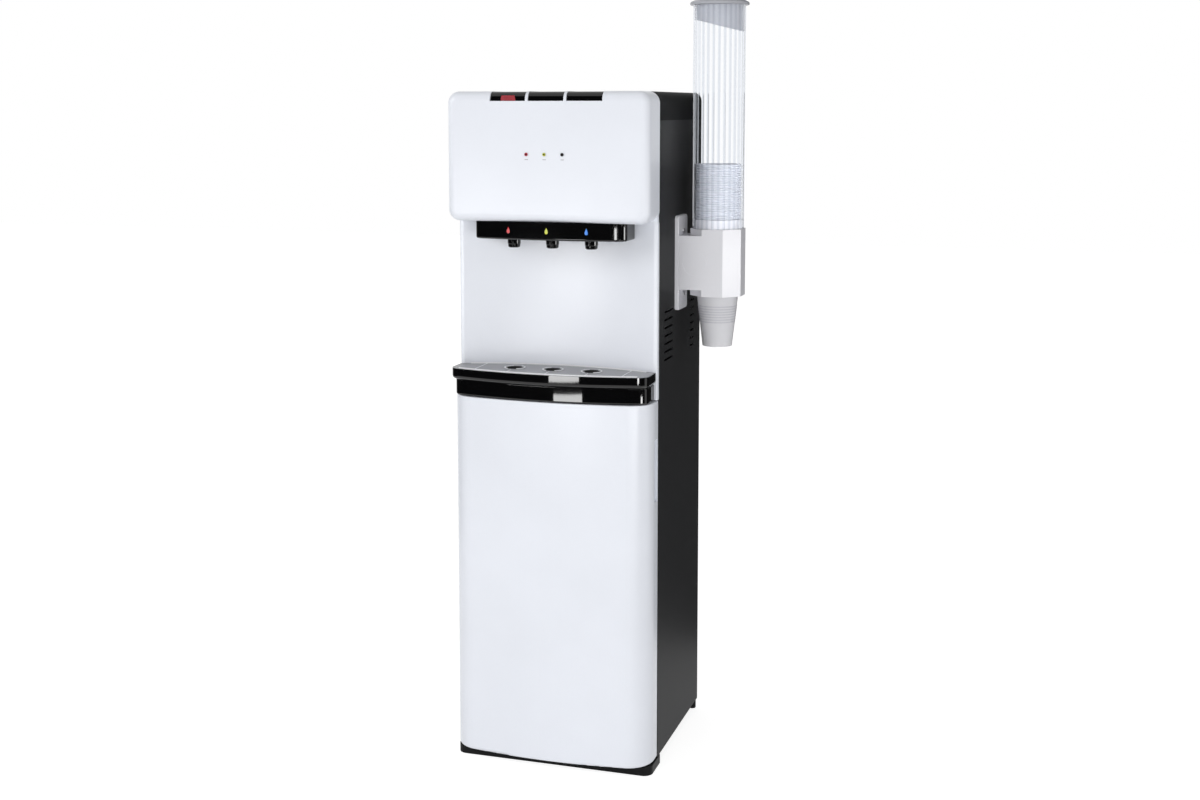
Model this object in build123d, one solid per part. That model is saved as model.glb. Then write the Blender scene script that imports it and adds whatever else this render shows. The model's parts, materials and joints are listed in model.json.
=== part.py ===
from build123d import *
import math
import os

# Water cooler: free-standing cabinet with a bottle bay below and a cup dispenser on its right side.
# Millimetres. +X is right seen from the front, -Y faces the user, +Z is up, and the floor is at z 0.

# Cabinet envelope
CABINET_WIDTH = 310.0
CABINET_DEPTH = 268.0
CABINET_HEIGHT = 1014.0
ORIGIN_TO_BACK = 147.0
REAR_CORNER_RADIUS = 10.0
SHEET_THICKNESS = 1.2
SEAT_GAP = 0.3
SHEET_CLEARANCE = 2.0

# Plinth and bottle floor
PLINTH_HEIGHT = 14.0
PLINTH_PROJECTION = 29.5
PLINTH_SIDE_INSET = 0.5
PLINTH_CORNER_RADIUS = 14.0
PLINTH_APRON_DEPTH = 54.5
PLINTH_WALL = 4.0
PLINTH_EDGE_ROUNDING = 1.5
BOTTLE_FLOOR_THICKNESS = 6.0
BOTTLE_FLOOR_SETBACK = 5.0
RUNNER_INSET = 24.0
RUNNER_WIDTH = 8.0
RUNNER_REAR_GAP = 6.0
REAR_FOOT_RADIUS = 6.0
REAR_FOOT_SIDE_INSET = 7.5
REAR_FOOT_BACK_INSET = 12.5
REAR_FOOT_ROUNDING = 1.5

# Front fascia with a hollow splash back
FASCIA_RETURN = 8.0
FASCIA_THICKNESS = 3.0
FASCIA_LAND = 6.0
SPLASH_HOLLOW = 26.0

# Head panel
HEAD_HEIGHT = 190.0
HEAD_PROJECTION = 50.0
HEAD_CORNER_RADIUS = 17.0
HEAD_EDGE_RADIUS = 13.0
HEAD_WALL = 3.0

# Top cover and side louvres
TOP_COVER_HEIGHT = 42.0
TOP_COVER_WALL = 2.5
TOP_COVER_REAR_RADIUS = 14.0
LOUVRE_ROWS = 7
LOUVRE_PITCH = 12.0
LOUVRE_HEIGHT = 3.2
LOUVRE_RISE = 54.0
LOUVRE_COLUMNS = ((-58.0, 48.0), (86.0, 22.0))

# Press buttons on one rod
BUTTON_WIDTH = 54.0
BUTTON_SIDE_CLEARANCE = 0.25
BUTTON_POST_WIDTH = 4.0
BUTTON_FACE_HEIGHT = 14.0
BUTTON_SKIRT_OVERLAP = 4.0
BUTTON_WALL = 2.5
BUTTON_ROD_RADIUS = 1.5
BUTTON_ROD_DEPTH = 8.0
BUTTON_ROD_SETBACK = 6.3
BUTTON_RIB_THICKNESS = 3.0
RUNNING_CLEARANCE = 0.05
SWITCH_SHELF_DROP = 25.0
SWITCH_SHELF_DEPTH = 28.0
SWITCH_WIDTH = 20.0
SWITCH_DEPTH = 11.0
SWITCH_SETBACK = 11.0
SWITCH_PLUNGER_RADIUS = 2.0
SWITCH_PLUNGER_HEIGHT = 5.0
SWITCH_TRAVEL_GAP = 3.2
LOCK_WIDTH = 23.0
LOCK_TOP_WIDTH = 20.0
LOCK_HEIGHT = 7.6
LOCK_FLANGE = 0.8
LOCK_CLEARANCE = 0.2

# Indicator lenses
INDICATOR_RADIUS = 2.0
INDICATOR_PITCH = 27.5
INDICATOR_CENTRE_X = -2.0
INDICATOR_DROP = 91.0

# Spout bar and spouts
SPOUT_PITCH = 60.0
SPOUT_SETBACK = 30.0
SPOUT_RADIUS = 9.8
SPOUT_BORE_RADIUS = 5.0
SPOUT_LENGTH_BELOW = 13.0
BAR_LENGTH = 234.0
BAR_HEIGHT = 26.0
BAR_FRONT_RADIUS = 560.0
BAR_SETBACK = 2.0
BAR_CORNER_RADIUS = 12.0
BAR_WALL = 3.0
BAR_LOW_ROUNDING = 3.0

# Drip tray, its holder and its grille
DISPENSING_HEIGHT = 220.0
TRAY_SIDE_INSET = 2.0
TRAY_PROJECTION = 70.0
TRAY_FRONT_RADIUS = 560.0
TRAY_CORNER_RADIUS = 18.0
TRAY_RIM_HEIGHT = 16.5
TRAY_RIM_ROUNDING = 5.5
TRAY_WALL = 2.5
TRAY_SUMP_DEPTH = 33.0
TRAY_REVEAL = 1.5
HOLDER_INSET = 3.0
HOLDER_SETBACK = 7.0
HOLDER_HEIGHT = 23.0
HOLDER_WALL = 2.5
HOLDER_TOP_ROUNDING = 1.0
HOLDER_LOW_ROUNDING = 2.0
NEST_CLEARANCE = 1.0
GRILLE_THICKNESS = 2.6
GRILLE_HOLE_RADIUS = 13.5
GRILLE_RING_WIDTH = 3.0
GRILLE_RING_RISE = 0.6
GRILLE_GROOVE_WIDTH = 1.6
GRILLE_GROOVE_DEPTH = 0.7
GRILLE_END_LINE_X = 114.0

# Door
DOOR_PROJECTION = 58.0
DOOR_FLOOR_GAP = 2.0
DOOR_TOP_GAP = 1.5
DOOR_SIDE_INSET = 0.5
DOOR_REAR_GAP = 2.0
DOOR_EDGE_RADIUS = 40.0
DOOR_TOP_ROUNDING = 1.5
DOOR_LOW_ROUNDING = 4.0
DOOR_CROWN = 15.0
DOOR_WALL = 3.0
HINGE_SIDE_INSET = 12.0
HINGE_REAR_INSET = 14.0
HINGE_PIN_RADIUS = 3.0
HINGE_PIN_DEPTH = 14.0
HINGE_BOSS_WIDTH = 19.0
LINER_THICKNESS = 2.5
LINER_DISH_DEPTH = 38.0
LINER_DISH_MARGIN_X = 23.0
LINER_DISH_MARGIN_Z = 8.0
LINER_DISH_RADIUS = 24.0
LINER_DISH_TAPER = 8.0
GRIP_DROP = 56.5
GRIP_HEIGHT = 93.0
GRIP_DEPTH = 18.0
GRIP_REACH = 9.0
GRIP_WALL = 2.0
MAGNET_WIDTH = 12.0
MAGNET_DEPTH = 20.0
MAGNET_HEIGHT = 42.0

# Machine space
SHELF_THICKNESS = 1.5
TANK_SHELF_SETBACK = 35.0
TANK_SHELF_FLANGE = 14.0
DIVIDER_LIP_NOTCH = 18.0
DIVIDER_LIP_DROP = 12.0
UPPER_BACK_RECESS = 31.0
TANK_SHELF_HEADROOM = 28.0
COMPRESSOR_RADIUS = 60.0
COMPRESSOR_HEIGHT = 138.0
COMPRESSOR_WALL = 14.0
COMPRESSOR_X = 50.0
COMPRESSOR_Y = 25.0
COMPRESSOR_CROWN_RADIUS = 26.0
COMPRESSOR_BASE_RADIUS = 12.0
COMPRESSOR_SEAM_RISE = 70.0
COMPRESSOR_SEAM_HEIGHT = 4.0
COMPRESSOR_SEAM_WIDTH = 2.0
COMPRESSOR_FOOT_LENGTH = 150.0
COMPRESSOR_FOOT_WIDTH = 118.0
COMPRESSOR_FOOT_THICKNESS = 2.5
TERMINAL_COVER_DEPTH = 24.0
TERMINAL_COVER_WIDTH = 44.0
TERMINAL_COVER_HEIGHT = 42.0
TERMINAL_COVER_RISE = 20.0
SUCTION_RADIUS = 4.0
SUCTION_OFFSET = 20.0
GROMMET_HEIGHT = 14.0
GROMMET_RADIUS = 10.0
GROMMET_WAIST_RADIUS = 7.0
GROMMET_BORE_RADIUS = 3.0
GROMMET_FLANGE = 4.0
GROMMET_TAPER = 2.0
GROMMET_INSET = 15.0
COLD_TANK_RADIUS = 75.0
COLD_TANK_HEIGHT = 178.0
TANK_WALL = 1.2
TANK_END_RADIUS = 10.0
TANK_PORT_RADIUS = 8.0
COLD_X = 48.0
COLD_Y = 10.0
INSULATION_WALL = 19.0
FOAM_EDGE_RADIUS = 6.0
EVAPORATOR_THICKNESS = 2.7
EVAPORATOR_MARGIN = 34.0
HOT_TANK_RADIUS = 38.0
HOT_TANK_HEIGHT = 182.0
HOT_X = -102.0
HOT_Y = 20.0
HOT_JACKET_WALL = 8.0
HOT_JACKET_DROP = 12.0
CONDENSER_TUBE_RADIUS = 2.5
CONDENSER_RUNS = 9
CONDENSER_RUN_PITCH = 38.0
CONDENSER_WIDTH = 240.0
CONDENSER_RISE = 53.0
CONDENSER_STANDOFF = 15.0
STANDOFF_RADIUS = 5.0
STANDOFF_WIRES = 8
WIRE_RADIUS = 0.9
WIRE_COUNT = 19
WIRE_PITCH = 12.0
WIRE_OVERHANG = 10.0
DRIER_RADIUS = 10.0
DRIER_LENGTH = 90.0
DRIER_STUB_RADIUS = 3.0
DRIER_STUB_LENGTH = 8.0
DRIER_TAPER = 10.0
DRIER_SIDE_INSET = 16.0
VALVE_WIDTH = 24.0
VALVE_FRONT = 15.0
VALVE_REAR = 19.0
VALVE_HEIGHT = 26.0
VALVE_CORNER_RADIUS = 3.0
COIL_RADIUS = 11.0
COIL_HEIGHT = 24.0
NIPPLE_LENGTH = 3.0
HOSE_RADIUS = 4.5
HOSE_LEVEL_ABOVE_HEAD_FLOOR = 16.0
HOSE_BEND = 12.0
HOSE_TIGHT_BEND = 9.0
HOSE_REAR_RUN = 40.0
HOSE_LOOP_RISE = 26.0
HOSE_DROP = 160.0
HOSE_CLEARANCE = 4.0
PUMP_X = -95.0
PUMP_Y = 60.0
PUMP_MOTOR_RADIUS = 26.0
PUMP_MOTOR_LENGTH = 65.0
PUMP_HEAD_LENGTH = 25.0
PUMP_HEAD_MARGIN = 2.0
PUMP_FOOT_RISE = 8.0
PUMP_FOOT_WIDTH = 44.0
PUMP_FOOT_INSET = 10.0
POWER_BOX_DEPTH = 24.0
POWER_BOX_LENGTH = 90.0
POWER_BOX_HEIGHT = 80.0
POWER_BOX_SETBACK = 53.0
POWER_BOX_DROP = 22.0
POWER_BOX_CORNER_RADIUS = 4.0
PROBE_X = -122.0
PROBE_Y = 108.0
PROBE_COLLAR_RADIUS = 25.0
PROBE_TUBE_RADIUS = 5.0
PROBE_COLLAR_DROP = 42.0
PROBE_FLOOR_GAP = 25.5
PROBE_COLLAR_HEIGHT = 36.0
PROBE_STRAINER_RADIUS = 9.0
PROBE_STRAINER_HEIGHT = 32.0
ROCKER_X = (88.0, 120.0)
ROCKER_DROP = 24.0
ROCKER_HALF_WIDTH = 9.3
ROCKER_HALF_HEIGHT = 4.7
ROCKER_TILT = 8.0
ROCKER_PIVOT_DEPTH = 3.0
ROCKER_BARREL_RADIUS = 3.5
BEZEL_GAP = 0.3
BEZEL_WALL = 1.5
BEZEL_FLANGE = 4.0
BEZEL_FLANGE_THICKNESS = 2.0
BEZEL_DEPTH = 14.0
BACK_PORT_RISE = 26.0
BACK_PORT_RADIUS = 8.5
DRAIN_XS = (-70.0, -30.0)
DRAIN_STUB_LENGTH = 12.0
DRAIN_CAP_RADIUS = 12.5
DRAIN_CAP_LENGTH = 14.0
DRAIN_CAP_FLUTES = 10
DRAIN_FLUTE_RADIUS = 1.4
CORD_X = 110.0
CORD_RADIUS = 3.6
GLAND_FLANGE_RADIUS = 12.0
GLAND_NOSE_RADIUS = 7.5
GLAND_LENGTH = 12.0
SCREW_HEAD_RADIUS = 4.0
SCREW_HEAD_HEIGHT = 2.2
SCREW_HEAD_ROUNDING = 1.2
SCREW_SHANK_RADIUS = 1.75
SCREW_REACH = 5.0
SCREW_SLOT_LENGTH = 4.8
SCREW_SLOT_WIDTH = 1.0
SCREW_SLOT_DEPTH = 0.8
BACK_FLANGE_WIDTH = 16.0
BACK_SCREW_MARGIN = 40.0

# Cup dispenser
CUP_AXIS_OFFSET = 57.5
CUP_AXIS_Y = 16.0
CUP_TUBE_RADIUS = 39.5
CUP_TUBE_WALL = 2.2
CUP_TUBE_LENGTH = 335.0
CUP_TUBE_RIBS = 28
CUP_RIB_HEIGHT = 0.7
CUP_RIB_WIDTH = 2.2
CUP_HOUSING_RISE = 102.0
CUP_HOUSING_HEIGHT = 102.0
CUP_HOUSING_BORE = 36.8
CUP_HOUSING_WALL = 2.4
CUP_HOUSING_SIDES = 8
CUP_SPIGOT_HEIGHT = 14.0
CUP_NECK_INSET = 10.0
CUP_NECK_WALL = 3.0
CUP_RING_RADIUS = 19.0
CUP_RING_WIDTH = 1.4
CUP_RING_DEPTH = 0.6
CUP_PLATE_THICKNESS = 6.0
CUP_PLATE_WIDTH = 54.0
CUP_PLATE_HEIGHT = 144.0
CUP_PLATE_DROP = 22.0
CUP_PLATE_CORNER_RADIUS = 6.0
CUP_PLATE_ROUNDING = 1.5
CUP_SCREW_INSET = 24.0
CUP_RIM_RADIUS = 35.4
CUP_HEIGHT = 95.0
CUP_BASE_RADIUS = 22.5
CUP_WALL = 1.0
CUP_STICK_OUT = 78.0
CUP_RIM_PITCH = 3.5
CUP_RIMS_SHOWN = 27
CUP_RIM_LIP = 1.8
CUP_RIM_HEIGHT = 3.0
CUP_NEST_RISE = 12.0
CUP_NEST_GAP = 0.4
CAP_BRIM_RADIUS = 44.5
CAP_BRIM_THICKNESS = 5.0
CAP_DOME_RISE = 8.0
CAP_WALL = 2.0
CAP_SKIRT_SHORT = 20.0
CAP_SKIRT_LONG = 40.0

# Planes that the parts share
HALF_WIDTH = CABINET_WIDTH / 2
BACK_Y = ORIGIN_TO_BACK
FASCIA_FRONT_Y = BACK_Y - CABINET_DEPTH
PLINTH_FRONT_Y = FASCIA_FRONT_Y - PLINTH_PROJECTION
SIDE_FRONT_Y = FASCIA_FRONT_Y + FASCIA_RETURN
PANEL_INNER_X = HALF_WIDTH - SHEET_THICKNESS
FIT_X = PANEL_INNER_X - SEAT_GAP
HEAD_BOTTOM_Z = CABINET_HEIGHT - HEAD_HEIGHT
HEAD_FRONT_Y = FASCIA_FRONT_Y - HEAD_PROJECTION
TOP_COVER_Z = CABINET_HEIGHT - TOP_COVER_HEIGHT
BOTTLE_FLOOR_Z = PLINTH_HEIGHT + BOTTLE_FLOOR_THICKNESS
SIDE_BOTTOM_Z = PLINTH_HEIGHT + SHEET_CLEARANCE
SPLASH_HALF = HALF_WIDTH - FASCIA_LAND
SPLASH_RADIUS = (SPLASH_HALF**2 + SPLASH_HOLLOW**2) / (2 * SPLASH_HOLLOW)
SPLASH_CENTRE_Y = FASCIA_FRONT_Y + SPLASH_HOLLOW - SPLASH_RADIUS
TRAY_WIDTH = CABINET_WIDTH - 2 * TRAY_SIDE_INSET
TRAY_TOP_Z = HEAD_BOTTOM_Z - DISPENSING_HEIGHT
TRAY_RIM_Z = TRAY_TOP_Z - TRAY_RIM_HEIGHT
HOLDER_TOP_Z = TRAY_RIM_Z - TRAY_REVEAL
HOLDER_Z = HOLDER_TOP_Z - HOLDER_HEIGHT
DIVIDER_Z = HOLDER_Z - SHELF_THICKNESS - NEST_CLEARANCE
DIVIDER_TOP_Z = DIVIDER_Z + SHELF_THICKNESS
LOUVRE_BOTTOM_Z = DIVIDER_TOP_Z + LOUVRE_RISE
CONDENSER_BOTTOM_Z = DIVIDER_TOP_Z + CONDENSER_RISE
COMPRESSOR_Z = DIVIDER_TOP_Z + GROMMET_HEIGHT
TANK_SHELF_Z = COMPRESSOR_Z + COMPRESSOR_HEIGHT + TANK_SHELF_HEADROOM
ROCKER_Z = TOP_COVER_Z - ROCKER_DROP
DOOR_FRONT_Y = FASCIA_FRONT_Y - DOOR_PROJECTION
DOOR_REAR_Y = SIDE_FRONT_Y - DOOR_REAR_GAP
DOOR_BOTTOM_Z = PLINTH_HEIGHT + DOOR_FLOOR_GAP
DOOR_TOP_Z = HOLDER_Z - DOOR_TOP_GAP
GRIP_BOTTOM_Z = DOOR_TOP_Z - GRIP_DROP - GRIP_HEIGHT
DOOR_HALF = HALF_WIDTH - DOOR_SIDE_INSET
HINGE_X = -HALF_WIDTH + HINGE_SIDE_INSET
HINGE_Y = DOOR_REAR_Y - HINGE_REAR_INSET
UPPER_BACK_Y = BACK_Y - UPPER_BACK_RECESS
TANK_FLOOR_Z = TANK_SHELF_Z + SHELF_THICKNESS
BAR_BOTTOM_Z = HEAD_BOTTOM_Z - BAR_HEIGHT
SPOUT_Y = HEAD_FRONT_Y + SPOUT_SETBACK
SPOUT_BOTTOM_Z = BAR_BOTTOM_Z - SPOUT_LENGTH_BELOW
SPOUT_XS = (-SPOUT_PITCH, 0.0, SPOUT_PITCH)
HEAD_FLOOR_Z = HEAD_BOTTOM_Z + HEAD_WALL
HOSE_Z = HEAD_FLOOR_Z + HOSE_LEVEL_ABOVE_HEAD_FLOOR
BUTTON_NOTCH = BUTTON_WIDTH + 2 * BUTTON_SIDE_CLEARANCE
BUTTON_PITCH = BUTTON_NOTCH + BUTTON_POST_WIDTH
BUTTON_XS = (-BUTTON_PITCH, 0.0, BUTTON_PITCH)
NOTCH_Z = CABINET_HEIGHT - BUTTON_FACE_HEIGHT
BUTTON_FACE_Y = HEAD_FRONT_Y + HEAD_WALL + SEAT_GAP
BUTTON_TOP_Z = CABINET_HEIGHT - 0.5
ROD_Y = SIDE_FRONT_Y - BUTTON_ROD_SETBACK
ROD_Z = CABINET_HEIGHT - BUTTON_ROD_DEPTH
SWITCH_SHELF_Z = CABINET_HEIGHT - SWITCH_SHELF_DROP
CUP_X = HALF_WIDTH + CUP_AXIS_OFFSET
CUP_HOUSING_Z = TRAY_TOP_Z + CUP_HOUSING_RISE
CUP_HOUSING_TOP_Z = CUP_HOUSING_Z + CUP_HOUSING_HEIGHT
CUP_HOUSING_HALF = CUP_HOUSING_BORE + CUP_HOUSING_WALL
CUP_FRONT_Y = CUP_AXIS_Y - CUP_HOUSING_HALF
CUP_PLATE_REAR_Y = CUP_FRONT_Y + CUP_PLATE_WIDTH
CUP_PLATE_Y = (CUP_FRONT_Y + CUP_PLATE_REAR_Y) / 2
CUP_PLATE_Z = CUP_HOUSING_Z - CUP_PLATE_DROP
CUP_PLATE_X = HALF_WIDTH + CUP_PLATE_THICKNESS
CUP_TUBE_TOP_Z = CUP_HOUSING_TOP_Z + CUP_TUBE_LENGTH
CUP_BOTTOM_Z = CUP_HOUSING_Z - CUP_STICK_OUT
CUP_RIM_Z = CUP_BOTTOM_Z + CUP_HEIGHT


def block(x0, x1, y0, y1, z0, z1):
    """A box between two opposite corners."""
    centre = Pos((x0 + x1) / 2, (y0 + y1) / 2, (z0 + z1) / 2)
    return centre * Box(x1 - x0, y1 - y0, z1 - z0)


def post(radius, x, y, z0, z1):
    """An upright cylinder."""
    return Pos(x, y, (z0 + z1) / 2) * Cylinder(radius, z1 - z0)


def bar_x(radius, x0, x1, y, z):
    """A cylinder lying across the cabinet."""
    return Pos((x0 + x1) / 2, y, z) * Rot(0, 90, 0) * Cylinder(radius, x1 - x0)


def bar_y(radius, x, y0, y1, z):
    """A cylinder lying front to back."""
    return Pos(x, (y0 + y1) / 2, z) * Rot(90, 0, 0) * Cylinder(radius, y1 - y0)


def upright(face, z0, z1):
    """A plan outline raised between two levels."""
    return extrude(Pos(0, 0, z0) * face, amount=z1 - z0)


def turned(points):
    """A profile of radius and height turned about the vertical axis."""
    profile = make_face(Polyline(*points, close=True))
    return revolve(Plane.XZ * profile, axis=Axis.Z)


def rectangle(x0, x1, y0, y1):
    """A flat rectangle between two opposite corners."""
    return Pos((x0 + x1) / 2, (y0 + y1) / 2) * Rectangle(x1 - x0, y1 - y0)


def mirrored(shape):
    """The same shape on the other side of the cabinet."""
    return mirror(shape, about=Plane.YZ)


def splash_disc(clearance):
    """The plan circle in front of the splash back, pulled forward by a clearance."""
    return Pos(0, SPLASH_CENTRE_Y) * Circle(SPLASH_RADIUS - clearance)


def bowed_front(half_width, front_y, bow_radius, corner_radius, rear_y):
    """A plan outline with a bowed front edge and rounded front corners."""
    sag = bow_radius - math.sqrt(bow_radius**2 - half_width**2)
    left = (-half_width, front_y + sag)
    right = (half_width, front_y + sag)
    bow = ThreePointArc(left, (0, front_y), right)
    sides = Polyline(right, (half_width, rear_y), (-half_width, rear_y), left)
    face = make_face(bow + sides)
    corners = face.vertices().sort_by(Axis.Y)[:2]
    return fillet(corners, corner_radius)


def tray_outline(inset, rear_clearance, setback=0):
    """The drip tray's plan outline, drawn in on every side and set back at the front."""
    face = bowed_front(
        TRAY_WIDTH / 2 - inset,
        FASCIA_FRONT_Y - TRAY_PROJECTION + inset + setback,
        TRAY_FRONT_RADIUS - inset,
        TRAY_CORNER_RADIUS - inset,
        FASCIA_FRONT_Y + SPLASH_HOLLOW,
    )
    return face & splash_disc(rear_clearance)


def hose(points, bend):
    """A round hose along straight runs joined by bends."""
    path = FilletPolyline(*points, radius=bend)
    start = Plane(origin=path @ 0, z_dir=path % 0)
    return sweep(start * Circle(HOSE_RADIUS), path=path)


def screw(grip):
    """A cross-headed screw along Z, its head above z 0 and its shank below."""
    shank = post(SCREW_SHANK_RADIUS, 0, 0, -grip - SCREW_REACH, 0)
    head = post(SCREW_HEAD_RADIUS, 0, 0, 0, SCREW_HEAD_HEIGHT)
    head = fillet(head.edges().sort_by(Axis.Z)[-1], SCREW_HEAD_ROUNDING)
    slot = Pos(0, 0, SCREW_HEAD_HEIGHT) * Box(SCREW_SLOT_LENGTH, SCREW_SLOT_WIDTH, 2 * SCREW_SLOT_DEPTH)
    return shank + head - slot - Rot(0, 0, 90) * slot


def base_pan():
    """Plinth apron, two runners with rear feet, and the floor that the bottle stands on."""
    half = HALF_WIDTH - PLINTH_SIDE_INSET
    apron_rear = PLINTH_FRONT_Y + PLINTH_APRON_DEPTH
    floor_front = SIDE_FRONT_Y + BOTTLE_FLOOR_SETBACK
    floor_rear = BACK_Y - 2 * SHEET_THICKNESS - SEAT_GAP
    outline = rectangle(-half, half, PLINTH_FRONT_Y, apron_rear)
    outline = fillet(outline.vertices().sort_by(Axis.Y)[:2], PLINTH_CORNER_RADIUS)
    apron = upright(outline, 0, PLINTH_HEIGHT)
    top_edges = apron.faces().sort_by(Axis.Z)[-1].edges().filter_by(GeomType.LINE)
    apron = fillet(top_edges.sort_by(Axis.Y)[:1], PLINTH_EDGE_ROUNDING)
    hollow = upright(offset(outline, -PLINTH_WALL), 0, PLINTH_HEIGHT - PLINTH_WALL)
    floor_plan = rectangle(-FIT_X, FIT_X, floor_front, floor_rear)
    floor_plan = fillet(floor_plan.vertices().sort_by(Axis.Y)[-2:], REAR_CORNER_RADIUS)
    floor = upright(floor_plan, PLINTH_HEIGHT, BOTTLE_FLOOR_Z)
    runner_x = half - RUNNER_INSET
    runner_rear = floor_rear - RUNNER_REAR_GAP
    runner_front = apron_rear - PLINTH_WALL
    runner = block(runner_x - RUNNER_WIDTH, runner_x, runner_front, runner_rear, 0, PLINTH_HEIGHT)
    cross = block(-runner_x, runner_x, runner_rear - RUNNER_WIDTH, runner_rear, 0, PLINTH_HEIGHT)
    foot_x = HALF_WIDTH - REAR_FOOT_SIDE_INSET
    foot = post(REAR_FOOT_RADIUS, foot_x, BACK_Y - REAR_FOOT_BACK_INSET, 0, PLINTH_HEIGHT)
    foot = fillet(foot.edges().sort_by(Axis.Z)[0], REAR_FOOT_ROUNDING)
    pan = (apron - hollow) + floor + runner + mirrored(runner) + cross + foot + mirrored(foot)
    pin_hole = post(HINGE_PIN_RADIUS, HINGE_X, HINGE_Y, 0, PLINTH_HEIGHT)
    boss = post(HINGE_PIN_RADIUS + PLINTH_WALL, HINGE_X, HINGE_Y, 2, PLINTH_HEIGHT - PLINTH_WALL)
    return pan + (boss & upright(outline, 0, PLINTH_HEIGHT)) - pin_hole


def side_panel():
    """Right side sheet with a rounded rear edge, a back flange and two columns of louvres."""
    plan = rectangle(-HALF_WIDTH, HALF_WIDTH, SIDE_FRONT_Y - 60, BACK_Y)
    plan = fillet(plan.vertices().sort_by(Axis.Y)[-2:], REAR_CORNER_RADIUS)
    ring = plan - offset(plan, -SHEET_THICKNESS)
    flange_x = HALF_WIDTH - REAR_CORNER_RADIUS - BACK_FLANGE_WIDTH
    strip = ring & rectangle(flange_x, HALF_WIDTH + 1, SIDE_FRONT_Y, BACK_Y + 1)
    panel = upright(strip, SIDE_BOTTOM_Z, TOP_COVER_Z)
    for centre_y, length in LOUVRE_COLUMNS:
        slot = extrude(Plane.YZ * SlotOverall(length, LOUVRE_HEIGHT), amount=4, both=True)
        for row in range(LOUVRE_ROWS):
            panel -= Pos(HALF_WIDTH, centre_y, LOUVRE_BOTTOM_Z + row * LOUVRE_PITCH) * slot
    for z in back_screw_levels():
        panel -= bar_y(SCREW_SHANK_RADIUS, back_screw_x(), BACK_Y - 5, BACK_Y + 1, z)
    return panel


def back_screw_x():
    """The screw line in the middle of each back flange."""
    return HALF_WIDTH - REAR_CORNER_RADIUS - BACK_FLANGE_WIDTH / 2


def back_screw_levels():
    """Heights of the screws that hold the lower back panel."""
    low = BOTTLE_FLOOR_Z + BACK_SCREW_MARGIN
    high = DIVIDER_Z - BACK_SCREW_MARGIN
    return (low, (low + high) / 2, high)


def back_panel_lower():
    """Flat sheet that closes the bottle bay behind."""
    y1 = BACK_Y - SHEET_THICKNESS
    reach = back_screw_x() + BACK_FLANGE_WIDTH / 2
    panel = block(-reach, reach, y1 - SHEET_THICKNESS, y1, BOTTLE_FLOOR_Z, DIVIDER_Z - SEAT_GAP)
    for x in (-back_screw_x(), back_screw_x()):
        for z in back_screw_levels():
            panel -= bar_y(SCREW_SHANK_RADIUS, x, y1 - 5, y1 + 1, z)
    return panel


def panel_screws():
    """Screws through the back flanges into the lower back panel."""
    group = []
    for x in (-back_screw_x(), back_screw_x()):
        for z in back_screw_levels():
            group.append(Pos(x, BACK_Y, z) * Rot(-90, 0, 0) * screw(2 * SHEET_THICKNESS))
    return group


def back_panel_upper():
    """Recessed sheet behind the machine space, with stand-offs for the condenser."""
    y0 = UPPER_BACK_Y
    y1 = UPPER_BACK_Y + SHEET_THICKNESS
    panel = block(-FIT_X, FIT_X, y0, y1, DIVIDER_TOP_Z, TOP_COVER_Z)
    tip_y = condenser_y() - CONDENSER_TUBE_RADIUS - 2 * WIRE_RADIUS - SEAT_GAP / 2
    low = CONDENSER_BOTTOM_Z + CONDENSER_RUN_PITCH / 2
    high = low + (CONDENSER_RUNS - 2) * CONDENSER_RUN_PITCH
    for x in (-STANDOFF_WIRES * WIRE_PITCH, STANDOFF_WIRES * WIRE_PITCH):
        for z in (low, high):
            panel += bar_y(STANDOFF_RADIUS, x, y0, tip_y, z)
    half_x = bezel_half_x() + BEZEL_WALL + BEZEL_GAP
    half_z = bezel_half_z() + BEZEL_WALL + BEZEL_GAP
    for x in ROCKER_X:
        panel -= block(x - half_x, x + half_x, y0 - 1, y1 + 1, ROCKER_Z - half_z, ROCKER_Z + half_z)
    for x in (*DRAIN_XS, CORD_X):
        panel -= bar_y(BACK_PORT_RADIUS, x, y0 - 1, y1 + 1, back_port_z())
    return panel


def back_port_z():
    """Height of the drains and of the cord gland."""
    return DIVIDER_TOP_Z + BACK_PORT_RISE


def bezel_half_x():
    """Half the width of a rocker's pocket."""
    return ROCKER_HALF_WIDTH + BEZEL_GAP


def bezel_half_z():
    """Half the height of a rocker's pocket, with room for its tilt."""
    return ROCKER_HALF_HEIGHT + 3 * BEZEL_GAP


def divider_shelf():
    """Folded steel shelf between the bottle bay and the machine space."""
    front = SIDE_FRONT_Y + BOTTLE_FLOOR_SETBACK + 3
    rear = BACK_Y - 2 * SHEET_THICKNESS
    plan = rectangle(-FIT_X, FIT_X, front, rear)
    plan = fillet(plan.vertices().sort_by(Axis.Y)[-2:], REAR_CORNER_RADIUS)
    plate = upright(plan, DIVIDER_Z, DIVIDER_TOP_Z)
    lip_x = -FIT_X + DIVIDER_LIP_NOTCH
    lip_z = DIVIDER_Z - DIVIDER_LIP_DROP
    lip = block(lip_x, FIT_X, front, front + SHELF_THICKNESS, lip_z, DIVIDER_Z)
    side_rear = UPPER_BACK_Y - 1
    side = block(FIT_X - SHELF_THICKNESS, FIT_X, front, side_rear, DIVIDER_TOP_Z, DIVIDER_TOP_Z + 10)
    hose_hole = post(HOSE_RADIUS + 1, PROBE_X, PROBE_Y, DIVIDER_Z - 1, DIVIDER_TOP_Z + 1)
    return plate + lip + side + mirrored(side) - hose_hole


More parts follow.
